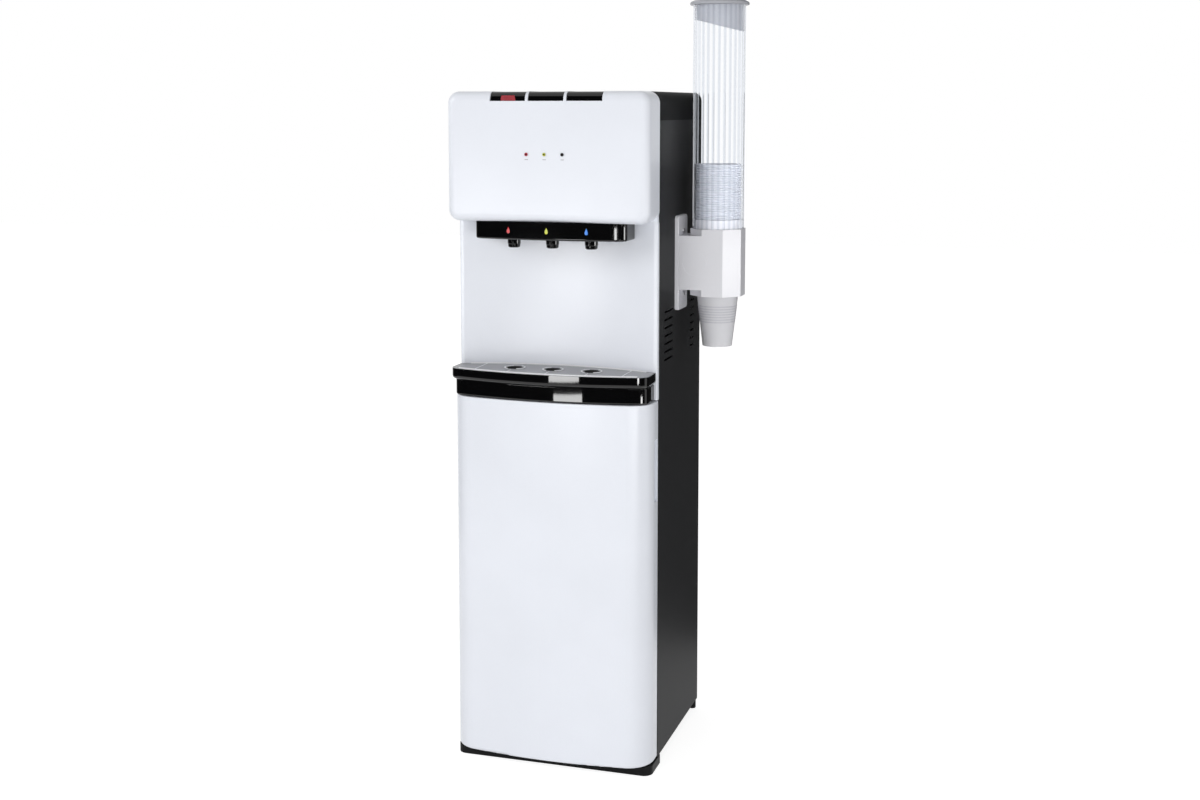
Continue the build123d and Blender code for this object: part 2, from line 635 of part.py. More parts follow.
def tank_shelf():
    """Folded steel shelf that carries both tanks."""
    front = FASCIA_FRONT_Y + SPLASH_HOLLOW + TANK_SHELF_SETBACK
    rear = UPPER_BACK_Y - SEAT_GAP
    plate = block(-FIT_X, FIT_X, front, rear, TANK_SHELF_Z, TANK_FLOOR_Z)
    flange_z = TANK_SHELF_Z - TANK_SHELF_FLANGE
    side = block(FIT_X - SHELF_THICKNESS, FIT_X, front, rear, flange_z, TANK_SHELF_Z)
    return plate + side + mirrored(side)


def cover_block(inset, z0):
    """The top cover's solid form, drawn in by an inset: where its plan, front and side outlines cross."""
    half = HALF_WIDTH - inset
    rear = BACK_Y - inset
    top = CABINET_HEIGHT - inset
    low = z0 - TOP_COVER_HEIGHT
    plan = rectangle(-half, half, SIDE_FRONT_Y, rear)
    plan = fillet(plan.vertices().sort_by(Axis.Y)[-2:], REAR_CORNER_RADIUS - inset)
    front = rectangle(-half, half, low, top)
    front = fillet(front.vertices().sort_by(Axis.Y)[-2:], HEAD_CORNER_RADIUS - inset)
    side = rectangle(SIDE_FRONT_Y, rear, low, top)
    corner = side.vertices().sort_by(Axis.Y)[-2:].sort_by(Axis.X)[-1]
    side = fillet(corner, TOP_COVER_REAR_RADIUS - inset)
    across = extrude(Plane.XZ * front, amount=2 * CABINET_DEPTH, both=True)
    along = extrude(Plane.YZ * side, amount=CABINET_WIDTH, both=True)
    return upright(plan, z0, top) & across & along


def top_cover():
    """Moulded cover with rounded edges, open below and towards the head panel."""
    skin = cover_block(0, TOP_COVER_Z)
    return skin - cover_block(TOP_COVER_WALL, TOP_COVER_Z - 1)


def fascia():
    """White front sheet with a hollow splash back and short side returns."""
    rear = FASCIA_FRONT_Y + SPLASH_HOLLOW + FASCIA_THICKNESS
    reach = rectangle(-HALF_WIDTH, HALF_WIDTH, FASCIA_FRONT_Y, rear)
    hollow = (splash_disc(-FASCIA_THICKNESS) - splash_disc(0)) & reach
    hollow = hollow & rectangle(-SPLASH_HALF - 1, SPLASH_HALF + 1, -BACK_Y, BACK_Y)
    inner_x = HALF_WIDTH - FASCIA_THICKNESS
    land = rectangle(SPLASH_HALF, HALF_WIDTH, FASCIA_FRONT_Y, FASCIA_FRONT_Y + FASCIA_THICKNESS)
    land += rectangle(inner_x, HALF_WIDTH, FASCIA_FRONT_Y, SIDE_FRONT_Y)
    outer = land.vertices().sort_by(Axis.Y)[:2].sort_by(Axis.X)[-1]
    land = fillet(outer, 2.5)
    plan = hollow + land + mirrored(land)
    return upright(plan, HOLDER_Z, HEAD_BOTTOM_Z)


def head_form(inset, front_y, rear_y):
    """The head panel's solid form, drawn in by an inset from its outer skin."""
    half = HALF_WIDTH - inset
    height = HEAD_HEIGHT - 2 * inset
    outline = RectangleRounded(2 * half, height, HEAD_CORNER_RADIUS - inset)
    place = Plane(origin=(0, rear_y, HEAD_BOTTOM_Z + HEAD_HEIGHT / 2), x_dir=(1, 0, 0), z_dir=(0, -1, 0))
    solid = extrude(place * outline, amount=rear_y - front_y)
    front = solid.faces().sort_by(Axis.Y)[0].edges()
    return fillet(front, HEAD_EDGE_RADIUS - inset)


def head_panel():
    """White head shell with notches for the buttons, ribs for their rod and holes for the lenses."""
    shell = head_form(0, HEAD_FRONT_Y, SIDE_FRONT_Y)
    shell -= head_form(HEAD_WALL, HEAD_FRONT_Y + HEAD_WALL, SIDE_FRONT_Y + 1)
    inner_front = HEAD_FRONT_Y + HEAD_WALL
    rib_y = ROD_Y - 5
    for x in rib_xs():
        half = BUTTON_RIB_THICKNESS / 2
        shell += block(x - half, x + half, rib_y, SIDE_FRONT_Y - 1, ROD_Z - 7, CABINET_HEIGHT - HEAD_WALL)
    notch_rear = SIDE_FRONT_Y - SHEET_THICKNESS
    shelf_x = rib_xs()[-1] + 2 * BUTTON_RIB_THICKNESS
    shelf_rear = inner_front + SWITCH_SHELF_DEPTH
    shelf_low = SWITCH_SHELF_Z - HEAD_WALL
    shell += block(-shelf_x, shelf_x, inner_front - 0.5, shelf_rear, shelf_low, SWITCH_SHELF_Z)
    for x in BUTTON_XS:
        half = BUTTON_NOTCH / 2
        shell -= block(x - half, x + half, HEAD_FRONT_Y - 1, notch_rear, NOTCH_Z, CABINET_HEIGHT + 1)
    shell -= bar_x(BUTTON_ROD_RADIUS, -rod_reach(), rod_reach(), ROD_Y, ROD_Z)
    for x in indicator_xs():
        shell -= bar_y(INDICATOR_RADIUS, x, HEAD_FRONT_Y - 1, inner_front + 1, indicator_z())
    for x in SPOUT_XS:
        shell -= post(SPOUT_RADIUS + SEAT_GAP, x, SPOUT_Y, HEAD_BOTTOM_Z - 1, HEAD_FLOOR_Z + 1)
    return shell


def rib_xs():
    """The four ribs that carry the button rod, between and outside the buttons."""
    outer = BUTTON_PITCH + BUTTON_PITCH / 2
    return (-outer, -BUTTON_PITCH / 2, BUTTON_PITCH / 2, outer)


def rod_reach():
    """Half the length of the button rod."""
    return rib_xs()[-1] + BUTTON_RIB_THICKNESS / 2 + 1


def indicator_xs():
    """Centres of the three indicator lenses."""
    return [INDICATOR_CENTRE_X + k * INDICATOR_PITCH for k in (-1, 0, 1)]


def indicator_z():
    """Height of the indicator lenses."""
    return CABINET_HEIGHT - INDICATOR_DROP


def indicator(x):
    """A lens with a domed nose, seated from inside the head panel."""
    nose = Polyline(
        (0, -1.0),
        (INDICATOR_RADIUS * 0.7, -0.7),
        (INDICATOR_RADIUS, 0),
        (INDICATOR_RADIUS, HEAD_WALL),
        (INDICATOR_RADIUS + 1.5, HEAD_WALL),
        (INDICATOR_RADIUS + 1.5, HEAD_WALL + 3),
        (0, HEAD_WALL + 3),
        close=True,
    )
    lens = revolve(Plane.XZ * make_face(nose), axis=Axis.Z)
    return Pos(x, HEAD_FRONT_Y, indicator_z()) * Rot(-90, 0, 0) * lens


def button(x):
    """A press button: top plate, front skirt and a rear barrel on the rod."""
    skirt_z = NOTCH_Z - BUTTON_SKIRT_OVERLAP
    face_radius = HEAD_EDGE_RADIUS - HEAD_WALL
    rear_y = ROD_Y + 4.5
    barrel_y = ROD_Y - 4.5
    outer = make_face(
        Polyline(
            (BUTTON_FACE_Y, skirt_z),
            (BUTTON_FACE_Y, BUTTON_TOP_Z),
            (rear_y, BUTTON_TOP_Z),
            (rear_y, skirt_z),
            close=True,
        )
    )
    nose = outer.vertices().sort_by(Axis.Y)[-2:].sort_by(Axis.X)[0]
    outer = fillet(nose, face_radius)
    barrel_z = ROD_Z - 4.0
    below = rectangle(BUTTON_FACE_Y + BUTTON_WALL, rear_y + 1, skirt_z - 1, barrel_z)
    inside = rectangle(BUTTON_FACE_Y + BUTTON_WALL, barrel_y, skirt_z - 1, BUTTON_TOP_Z - BUTTON_WALL)
    inner_corner = inside.vertices().sort_by(Axis.Y)[-2:].sort_by(Axis.X)[0]
    inside = fillet(inner_corner, face_radius - BUTTON_WALL)
    half = BUTTON_WIDTH / 2
    body = extrude(Plane.YZ * (outer - below), amount=half, both=True)
    body -= extrude(Plane.YZ * inside, amount=half - 2, both=True)
    bore = BUTTON_ROD_RADIUS + RUNNING_CLEARANCE
    return Pos(x, 0, 0) * body - bar_x(bore, x - half - 1, x + half + 1, ROD_Y, ROD_Z)


def lock_face(grow):
    """The child lock's tapered front outline."""
    low = LOCK_WIDTH / 2 + grow
    high = LOCK_TOP_WIDTH / 2 + grow
    z0 = NOTCH_Z + 0.4 - grow
    z1 = NOTCH_Z + 0.4 + LOCK_HEIGHT + grow
    return make_face(Polyline((-low, z0), (low, z0), (high, z1), (-high, z1), close=True))


def lock_prism(grow, y0, y1):
    """The child lock's outline run front to back in the hot button."""
    place = Plane(origin=(BUTTON_XS[0], y1, 0), x_dir=(1, 0, 0), z_dir=(0, -1, 0))
    return extrude(place * lock_face(grow), amount=y1 - y0)


def child_lock():
    """Red tab with a retaining flange behind the hot button's face."""
    behind = BUTTON_FACE_Y + BUTTON_WALL + LOCK_CLEARANCE
    tab = lock_prism(0, BUTTON_FACE_Y - 0.2, behind + 4)
    for step in range(3):
        z = NOTCH_Z + 2.6 + step * 2.2
        line = Box(LOCK_WIDTH / 2, 2, 0.8)
        tab -= Pos(BUTTON_XS[0], BUTTON_FACE_Y - 0.6, z) * line
    return tab + lock_prism(LOCK_FLANGE, behind, behind + 1.6)


def button_switches():
    """Small plunger switches under the buttons."""
    group = []
    y0 = BUTTON_FACE_Y + SWITCH_SETBACK
    half = SWITCH_WIDTH / 2
    top = BUTTON_TOP_Z - BUTTON_WALL - SWITCH_TRAVEL_GAP
    case_top = top - SWITCH_PLUNGER_HEIGHT
    for x in BUTTON_XS:
        case = block(x - half, x + half, y0, y0 + SWITCH_DEPTH, SWITCH_SHELF_Z, case_top)
        group.append(case + post(SWITCH_PLUNGER_RADIUS, x, y0 + SWITCH_DEPTH / 2, case_top, top))
    return group


def spout_bar():
    """Gloss bar under the head, bowed in front and hollow above the spouts."""
    plan = bowed_front(
        BAR_LENGTH / 2,
        HEAD_FRONT_Y + BAR_SETBACK,
        BAR_FRONT_RADIUS,
        BAR_CORNER_RADIUS,
        FASCIA_FRONT_Y + SPLASH_HOLLOW,
    )
    plan = plan & splash_disc(SEAT_GAP)
    solid = upright(plan, BAR_BOTTOM_Z, HEAD_BOTTOM_Z)
    low = solid.faces().sort_by(Axis.Z)[0].edges().sort_by(Axis.Y)[:5]
    front = low.filter_by(lambda edge: edge.center().Y < FASCIA_FRONT_Y - 20)
    solid = fillet(front, BAR_LOW_ROUNDING)
    inner = bowed_front(
        BAR_LENGTH / 2 - BAR_WALL,
        HEAD_FRONT_Y + BAR_SETBACK + BAR_WALL,
        BAR_FRONT_RADIUS - BAR_WALL,
        BAR_CORNER_RADIUS - BAR_WALL,
        FASCIA_FRONT_Y + SPLASH_HOLLOW,
    )
    inner = inner & splash_disc(SEAT_GAP + BAR_WALL)
    solid -= upright(inner, BAR_BOTTOM_Z + BAR_WALL, HEAD_BOTTOM_Z + 1)
    for x in SPOUT_XS:
        hole = post(SPOUT_RADIUS + SEAT_GAP / 2, x, SPOUT_Y, BAR_BOTTOM_Z - 1, BAR_BOTTOM_Z + 2 * BAR_WALL)
        solid -= hole
    return solid


def spout(x):
    """A turned spout with a rounded lip and a flange that rests in the bar."""
    flange_z = BAR_BOTTOM_Z + BAR_WALL
    z0 = SPOUT_BOTTOM_Z
    profile = [
        (SPOUT_BORE_RADIUS, z0),
        (SPOUT_RADIUS - 2.2, z0),
        (SPOUT_RADIUS - 0.9, z0 + 1.2),
        (SPOUT_RADIUS - 0.6, z0 + 5),
        (SPOUT_RADIUS, z0 + 6),
        (SPOUT_RADIUS, flange_z),
        (SPOUT_RADIUS + 2.5, flange_z),
        (SPOUT_RADIUS + 2.5, flange_z + 2),
        (SPOUT_RADIUS, flange_z + 2),
        (SPOUT_RADIUS, HEAD_FLOOR_Z),
        (SPOUT_BORE_RADIUS, HEAD_FLOOR_Z),
    ]
    return Pos(x, SPOUT_Y, 0) * turned(profile)


def tap_valves():
    """Solenoid valves that stand on the head floor above the spouts."""
    group = []
    z0 = HEAD_FLOOR_Z + SEAT_GAP / 2
    z1 = z0 + VALVE_HEIGHT
    half = VALVE_WIDTH / 2
    rear = SPOUT_Y + VALVE_REAR
    for x in SPOUT_XS:
        body = block(x - half, x + half, SPOUT_Y - VALVE_FRONT, rear, z0, z1)
        body = fillet(body.edges().filter_by(Axis.Z), VALVE_CORNER_RADIUS)
        coil = post(COIL_RADIUS, x, SPOUT_Y, z1, z1 + COIL_HEIGHT)
        nipple = bar_y(HOSE_RADIUS, x, rear - 1, rear + NIPPLE_LENGTH, HOSE_Z)
        group.append(body + coil + nipple)
    return group


def tap_hoses():
    """Hoses from the tanks and the pump to the valves."""
    y0 = SPOUT_Y + VALVE_REAR + NIPPLE_LENGTH
    hot_top = TANK_FLOOR_Z + HOT_TANK_HEIGHT
    turn_y = y0 + HOSE_REAR_RUN
    loop_z = hot_top + HOSE_LOOP_RISE
    hot = hose(
        [
            (SPOUT_XS[0], y0, HOSE_Z),
            (SPOUT_XS[0], turn_y, HOSE_Z),
            (HOT_X, turn_y, HOSE_Z),
            (HOT_X, turn_y, loop_z),
            (HOT_X, HOT_Y, loop_z),
            (HOT_X, HOT_Y, hot_top + SEAT_GAP / 2),
        ],
        HOSE_BEND,
    )
    drop_y = FASCIA_FRONT_Y + SPLASH_HOLLOW + FASCIA_THICKNESS + HOSE_RADIUS + HOSE_CLEARANCE
    low_z = HOSE_Z - HOSE_DROP
    port_y = PUMP_Y + PUMP_HEAD_LENGTH / 2
    port_z = pump_axis_z() + PUMP_MOTOR_RADIUS + PUMP_HEAD_MARGIN + SEAT_GAP / 2
    warm = hose(
        [
            (SPOUT_XS[1], y0, HOSE_Z),
            (SPOUT_XS[1], drop_y, HOSE_Z),
            (SPOUT_XS[1], drop_y, low_z),
            (PUMP_X, drop_y, low_z),
            (PUMP_X, port_y, low_z),
            (PUMP_X, port_y, port_z),
        ],
        HOSE_TIGHT_BEND,
    )
    side_reach = abs(SPOUT_XS[2] - COLD_X) + HOSE_RADIUS
    wall_y = COLD_Y - math.sqrt(cold_outer_radius() ** 2 - side_reach**2)
    cold = bar_y(HOSE_RADIUS, SPOUT_XS[2], y0, wall_y - HOSE_CLEARANCE / 3, HOSE_Z)
    return [hot, warm, cold]


def front_rim(face):
    """The edges of a level face that lie in front of the splash back."""
    return face.edges().filter_by(lambda edge: edge.center().Y < FASCIA_FRONT_Y - TRAY_RIM_ROUNDING)


def tray_holder():
    """Fixed band under the drip tray, a shallow tub that the tray nests in."""
    rear = SEAT_GAP
    solid = upright(tray_outline(HOLDER_INSET, rear, HOLDER_SETBACK), HOLDER_Z, HOLDER_TOP_Z)
    inner = tray_outline(HOLDER_INSET + HOLDER_WALL, rear + HOLDER_WALL, HOLDER_SETBACK)
    solid = fillet(front_rim(solid.faces().sort_by(Axis.Z)[-1]), HOLDER_TOP_ROUNDING)
    solid = fillet(front_rim(solid.faces().sort_by(Axis.Z)[0]), HOLDER_LOW_ROUNDING)
    solid -= upright(inner, HOLDER_Z + HOLDER_WALL, HOLDER_TOP_Z + 1)
    return solid - post(HINGE_PIN_RADIUS, HINGE_X, HINGE_Y, HOLDER_Z - 1, HOLDER_Z + HOLDER_WALL + 1)


def drip_tray():
    """Lift-out tray: bowed rim, reveal above the holder, and a sump."""
    rear = SEAT_GAP * 2
    tub_inset = HOLDER_INSET + HOLDER_WALL + NEST_CLEARANCE
    tub_rear = SEAT_GAP + HOLDER_WALL + NEST_CLEARANCE
    sump_z = TRAY_TOP_Z - TRAY_SUMP_DEPTH
    rim = upright(tray_outline(0, rear), TRAY_RIM_Z, TRAY_TOP_Z)
    rim = fillet(front_rim(rim.faces().sort_by(Axis.Z)[0]), TRAY_RIM_ROUNDING)
    seat_z = HOLDER_TOP_Z + SEAT_GAP / 2
    seat = tray_outline(HOLDER_INSET + NEST_CLEARANCE, rear, HOLDER_SETBACK)
    tub = tray_outline(tub_inset, tub_rear, HOLDER_SETBACK)
    sump = tray_outline(tub_inset + TRAY_WALL, tub_rear + TRAY_WALL, HOLDER_SETBACK)
    tray = rim + upright(seat, seat_z, TRAY_RIM_Z + TRAY_RIM_ROUNDING / 2)
    tray += upright(tub, sump_z - TRAY_WALL, seat_z)
    tray -= upright(sump, sump_z, TRAY_TOP_Z + 1)
    seat_for_grille = tray_outline(TRAY_WALL, rear + TRAY_WALL)
    return tray - upright(seat_for_grille, TRAY_TOP_Z - GRILLE_THICKNESS, TRAY_TOP_Z + 1)


def drip_grille():
    """Silver plate with three ringed cup holes and shallow drain grooves."""
    z0 = TRAY_TOP_Z - GRILLE_THICKNESS
    z1 = TRAY_TOP_Z
    outline = tray_outline(TRAY_WALL + SEAT_GAP, SEAT_GAP * 2 + TRAY_WALL + SEAT_GAP)
    plate = upright(outline, z0, z1)
    front_y = FASCIA_FRONT_Y - TRAY_PROJECTION
    groove_z = z1 - GRILLE_GROOVE_DEPTH
    half = GRILLE_GROOVE_WIDTH / 2
    for x in SPOUT_XS:
        plate += post(GRILLE_HOLE_RADIUS + GRILLE_RING_WIDTH, x, SPOUT_Y, z1, z1 + GRILLE_RING_RISE)
        plate -= block(x - half, x + half, front_y, SPOUT_Y - GRILLE_HOLE_RADIUS, groove_z, z1 + 1)
        plate -= post(GRILLE_HOLE_RADIUS, x, SPOUT_Y, z0 - 1, z1 + 2)
    for x in (-GRILLE_END_LINE_X, GRILLE_END_LINE_X):
        plate -= block(x - half, x + half, front_y, FASCIA_FRONT_Y + SPLASH_HOLLOW, groove_z, z1 + 1)
    return plate


def door_plan(inset):
    """The door's plan outline with rounded edges and a slight crown."""
    half = DOOR_HALF - inset
    crown_radius = (DOOR_HALF**2 + DOOR_CROWN**2) / (2 * DOOR_CROWN)
    rear = DOOR_REAR_Y + (1 if inset else 0)
    return bowed_front(half, DOOR_FRONT_Y + inset, crown_radius - inset, DOOR_EDGE_RADIUS - inset, rear)


def grip_block(grow):
    """The space for fingers at the door's free edge, grown by a wall."""
    y1 = DOOR_REAR_Y - (0 if grow else GRIP_WALL)
    x1 = DOOR_HALF - (0.5 if grow else -1)
    return block(
        DOOR_HALF - GRIP_REACH - grow,
        x1,
        DOOR_REAR_Y - GRIP_DEPTH - grow,
        y1,
        GRIP_BOTTOM_Z - grow,
        GRIP_BOTTOM_Z + GRIP_HEIGHT + grow,
    )


def door_rim(face):
    """The edges of a level door face, without its rear edge."""
    return face.edges().filter_by(lambda edge: edge.center().Y < DOOR_REAR_Y - 1)


def door_shell():
    """White door skin with rounded edges, hinge bosses and a finger grip."""
    skin = upright(door_plan(0), DOOR_BOTTOM_Z, DOOR_TOP_Z)
    skin = fillet(door_rim(skin.faces().sort_by(Axis.Z)[-1]), DOOR_TOP_ROUNDING)
    skin = fillet(door_rim(skin.faces().sort_by(Axis.Z)[0]), DOOR_LOW_ROUNDING)
    shell = skin - upright(door_plan(DOOR_WALL), DOOR_BOTTOM_Z + DOOR_WALL, DOOR_TOP_Z - DOOR_WALL)
    boss_y1 = DOOR_REAR_Y - LINER_THICKNESS - SEAT_GAP
    boss_x0 = -DOOR_HALF + DOOR_WALL - 0.5
    boss_y0 = HINGE_Y - HINGE_BOSS_WIDTH / 2
    height = HINGE_PIN_DEPTH + 4
    boss_x1 = boss_x0 + HINGE_BOSS_WIDTH
    shell += block(boss_x0, boss_x1, boss_y0, boss_y1, DOOR_BOTTOM_Z + 1, DOOR_BOTTOM_Z + height)
    shell += block(boss_x0, boss_x1, boss_y0, boss_y1, DOOR_TOP_Z - height, DOOR_TOP_Z - 1)
    shell += grip_block(GRIP_WALL)
    shell -= grip_block(0)
    bore = HINGE_PIN_RADIUS + RUNNING_CLEARANCE
    shell -= post(bore, HINGE_X, HINGE_Y, DOOR_BOTTOM_Z - 1, DOOR_BOTTOM_Z + HINGE_PIN_DEPTH)
    return shell - post(bore, HINGE_X, HINGE_Y, DOOR_TOP_Z - HINGE_PIN_DEPTH, DOOR_TOP_Z + 1)


def door_liner():
    """Inner door skin with a dish that gives the bottle room."""
    half = DOOR_HALF - DOOR_WALL - SEAT_GAP
    z0 = DOOR_BOTTOM_Z + DOOR_WALL + SEAT_GAP
    z1 = DOOR_TOP_Z - DOOR_WALL - SEAT_GAP
    mid_z = (z0 + z1) / 2
    face_y = DOOR_REAR_Y - LINER_THICKNESS
    plate = block(-half, half, face_y, DOOR_REAR_Y, z0, z1)
    width = 2 * half - 2 * LINER_DISH_MARGIN_X
    height = z1 - z0 - 2 * LINER_DISH_MARGIN_Z
    place = Plane(origin=(0, DOOR_REAR_Y, mid_z), x_dir=(1, 0, 0), z_dir=(0, -1, 0))
    skin = LINER_THICKNESS
    outer = RectangleRounded(width + 2 * skin, height + 2 * skin, LINER_DISH_RADIUS + skin)
    outer = extrude(place * outer, amount=LINER_DISH_DEPTH + skin, taper=LINER_DISH_TAPER)
    inner = RectangleRounded(width, height, LINER_DISH_RADIUS)
    inner = extrude(place * inner, amount=LINER_DISH_DEPTH, taper=LINER_DISH_TAPER)
    grip = grip_block(GRIP_WALL + SEAT_GAP)
    grip = grip + Pos(1, 0.5, 0) * grip
    return plate + outer - inner - grip


def door_hinge_pins():
    """Lower pin with a shoulder that carries the door, and a plain upper pin."""
    r = HINGE_PIN_RADIUS
    lower = post(r, HINGE_X, HINGE_Y, 2, DOOR_BOTTOM_Z + HINGE_PIN_DEPTH - 2)
    lower += post(r + 4, HINGE_X, HINGE_Y, PLINTH_HEIGHT, DOOR_BOTTOM_Z - SEAT_GAP / 2)
    upper = post(r, HINGE_X, HINGE_Y, DOOR_TOP_Z - HINGE_PIN_DEPTH + 2, HOLDER_Z + HOLDER_WALL)
    return [lower, upper]


def magnet_catch():
    """Magnet block on the right side panel that holds the door shut."""
    mid_z = (DOOR_BOTTOM_Z + GRIP_BOTTOM_Z) / 2
    half = MAGNET_HEIGHT / 2
    y0 = DOOR_REAR_Y + SEAT_GAP
    body = block(FIT_X - MAGNET_WIDTH, FIT_X, y0, y0 + MAGNET_DEPTH, mid_z - half, mid_z + half)
    return fillet(body.edges().filter_by(Axis.Y), 2)


def compressor():
    """Welded dome on a foot plate, with a terminal cover."""
    x = COMPRESSOR_X
    y = COMPRESSOR_Y
    z0 = COMPRESSOR_Z
    z1 = COMPRESSOR_Z + COMPRESSOR_HEIGHT
    dome = post(COMPRESSOR_RADIUS, x, y, z0 + COMPRESSOR_FOOT_THICKNESS, z1)
    dome = fillet(dome.edges().sort_by(Axis.Z)[-1], COMPRESSOR_CROWN_RADIUS)
    dome = fillet(dome.edges().sort_by(Axis.Z)[0], COMPRESSOR_BASE_RADIUS)
    seam_z = z0 + COMPRESSOR_SEAM_RISE
    seam = post(COMPRESSOR_RADIUS + COMPRESSOR_SEAM_WIDTH, x, y, seam_z, seam_z + COMPRESSOR_SEAM_HEIGHT)
    plate = Box(COMPRESSOR_FOOT_LENGTH, COMPRESSOR_FOOT_WIDTH, COMPRESSOR_FOOT_THICKNESS)
    plate = Pos(x, y, z0 + COMPRESSOR_FOOT_THICKNESS / 2) * plate
    plate = fillet(plate.edges().filter_by(Axis.Z), COMPRESSOR_BASE_RADIUS)
    cover = Box(TERMINAL_COVER_DEPTH, TERMINAL_COVER_WIDTH, TERMINAL_COVER_HEIGHT)
    cover = Pos(x - COMPRESSOR_RADIUS, y, z0 + TERMINAL_COVER_RISE + TERMINAL_COVER_HEIGHT / 2) * cover
    hollow = post(COMPRESSOR_RADIUS - COMPRESSOR_WALL, x, y, z0 + COMPRESSOR_WALL, z1 - COMPRESSOR_WALL)
    suction = post(SUCTION_RADIUS, x + SUCTION_OFFSET, y, z1 - 2 * COMPRESSOR_WALL, z1 + 1)
    return dome + seam + plate + cover - hollow - suction


def compressor_grommets():
    """Four rubber spools under the compressor's foot plate."""
    z0 = DIVIDER_TOP_Z
    z1 = COMPRESSOR_Z
    waist = GROMMET_FLANGE + GROMMET_TAPER
    spool = turned(
        [
            (GROMMET_BORE_RADIUS, z0),
            (GROMMET_RADIUS, z0),
            (GROMMET_RADIUS, z0 + GROMMET_FLANGE),
            (GROMMET_WAIST_RADIUS, z0 + waist),
            (GROMMET_WAIST_RADIUS, z1 - waist),
            (GROMMET_RADIUS, z1 - GROMMET_FLANGE),
            (GROMMET_RADIUS, z1),
            (GROMMET_BORE_RADIUS, z1),
        ]
    )
    dx = COMPRESSOR_FOOT_LENGTH / 2 - GROMMET_INSET
    dy = COMPRESSOR_FOOT_WIDTH / 2 - GROMMET_INSET
    spots = [(sx * dx, sy * dy) for sx in (-1, 1) for sy in (-1, 1)]
    return [Pos(COMPRESSOR_X + x, COMPRESSOR_Y + y, 0) * spool for x, y in spots]


def cold_outer_radius():
    """Outside radius of the cold tank's insulation."""
    return COLD_TANK_RADIUS + EVAPORATOR_THICKNESS + 2 * SEAT_GAP + INSULATION_WALL


def hollow_tank(radius, x, y, z0, z1):
    """A thin steel tank with rounded ends and a port in its top."""
    outer = post(radius, x, y, z0, z1)
    outer = fillet(outer.edges().filter_by(GeomType.CIRCLE), TANK_END_RADIUS)
    inner = post(radius - TANK_WALL, x, y, z0 + TANK_WALL, z1 - TANK_WALL)
    inner = fillet(inner.edges().filter_by(GeomType.CIRCLE), TANK_END_RADIUS - TANK_WALL)
    return outer - inner - post(TANK_PORT_RADIUS, x, y, z1 - 2 * TANK_END_RADIUS, z1 + 1)


def cold_tank():
    """Steel tank with rounded ends inside the insulation."""
    z0 = TANK_FLOOR_Z + INSULATION_WALL
    return hollow_tank(COLD_TANK_RADIUS, COLD_X, COLD_Y, z0, z0 + COLD_TANK_HEIGHT)


def evaporator_sleeve():
    """Plate evaporator wrapped round the cold tank."""
    z0 = TANK_FLOOR_Z + INSULATION_WALL + EVAPORATOR_MARGIN
    z1 = TANK_FLOOR_Z + INSULATION_WALL + COLD_TANK_HEIGHT - EVAPORATOR_MARGIN
    inner = COLD_TANK_RADIUS + SEAT_GAP
    ring = post(inner + EVAPORATOR_THICKNESS, COLD_X, COLD_Y, z0, z1)
    return ring - post(inner, COLD_X, COLD_Y, z0 - 1, z1 + 1)


def cold_tank_insulation():
    """Foam case in two halves round the cold tank."""
    z0 = TANK_FLOOR_Z
    height = COLD_TANK_HEIGHT + 2 * INSULATION_WALL + SEAT_GAP
    outer = post(cold_outer_radius(), COLD_X, COLD_Y, z0, z0 + height)
    outer = fillet(outer.edges().sort_by(Axis.Z)[-1], FOAM_EDGE_RADIUS)
    cavity_r = COLD_TANK_RADIUS + EVAPORATOR_THICKNESS + 2 * SEAT_GAP
    cavity = post(cavity_r, COLD_X, COLD_Y, z0 + INSULATION_WALL, z0 + height - INSULATION_WALL)
    case = outer - cavity
    split = z0 + height / 2
    reach = 2 * cold_outer_radius()
    below = post(reach, COLD_X, COLD_Y, z0 - 1, split)
    above = post(reach, COLD_X, COLD_Y, split, z0 + height + 1)
    return [case & below, case & above]


def hot_tank():
    """Narrow steel tank that stands on the tank shelf."""
    return hollow_tank(HOT_TANK_RADIUS, HOT_X, HOT_Y, TANK_FLOOR_Z, TANK_FLOOR_Z + HOT_TANK_HEIGHT)


def hot_tank_jacket():
    """Foam sleeve round the hot tank."""
    inner = HOT_TANK_RADIUS + SEAT_GAP
    height = HOT_TANK_HEIGHT - HOT_JACKET_DROP
    sleeve = post(inner + HOT_JACKET_WALL, HOT_X, HOT_Y, TANK_FLOOR_Z, TANK_FLOOR_Z + height)
    return sleeve - post(inner, HOT_X, HOT_Y, TANK_FLOOR_Z - 1, TANK_FLOOR_Z + height + 1)


def condenser_y():
    """The plane of the condenser's tube behind the upper back panel."""
    return UPPER_BACK_Y + CONDENSER_STANDOFF


def condenser_tube():
    """One tube bent to and fro across the back."""
    y = condenser_y()
    bend = CONDENSER_RUN_PITCH / 2 - 0.1
    half = CONDENSER_WIDTH / 2
    points = []
    for run in range(CONDENSER_RUNS):
        z = CONDENSER_BOTTOM_Z + run * CONDENSER_RUN_PITCH
        ends = (-half, half) if run % 2 == 0 else (half, -half)
        points.append((ends[0], y, z))
        points.append((ends[1], y, z))
    path = FilletPolyline(*points, radius=bend)
    start = Plane(origin=path @ 0, z_dir=path % 0)
    return sweep(start * Circle(CONDENSER_TUBE_RADIUS), path=path)


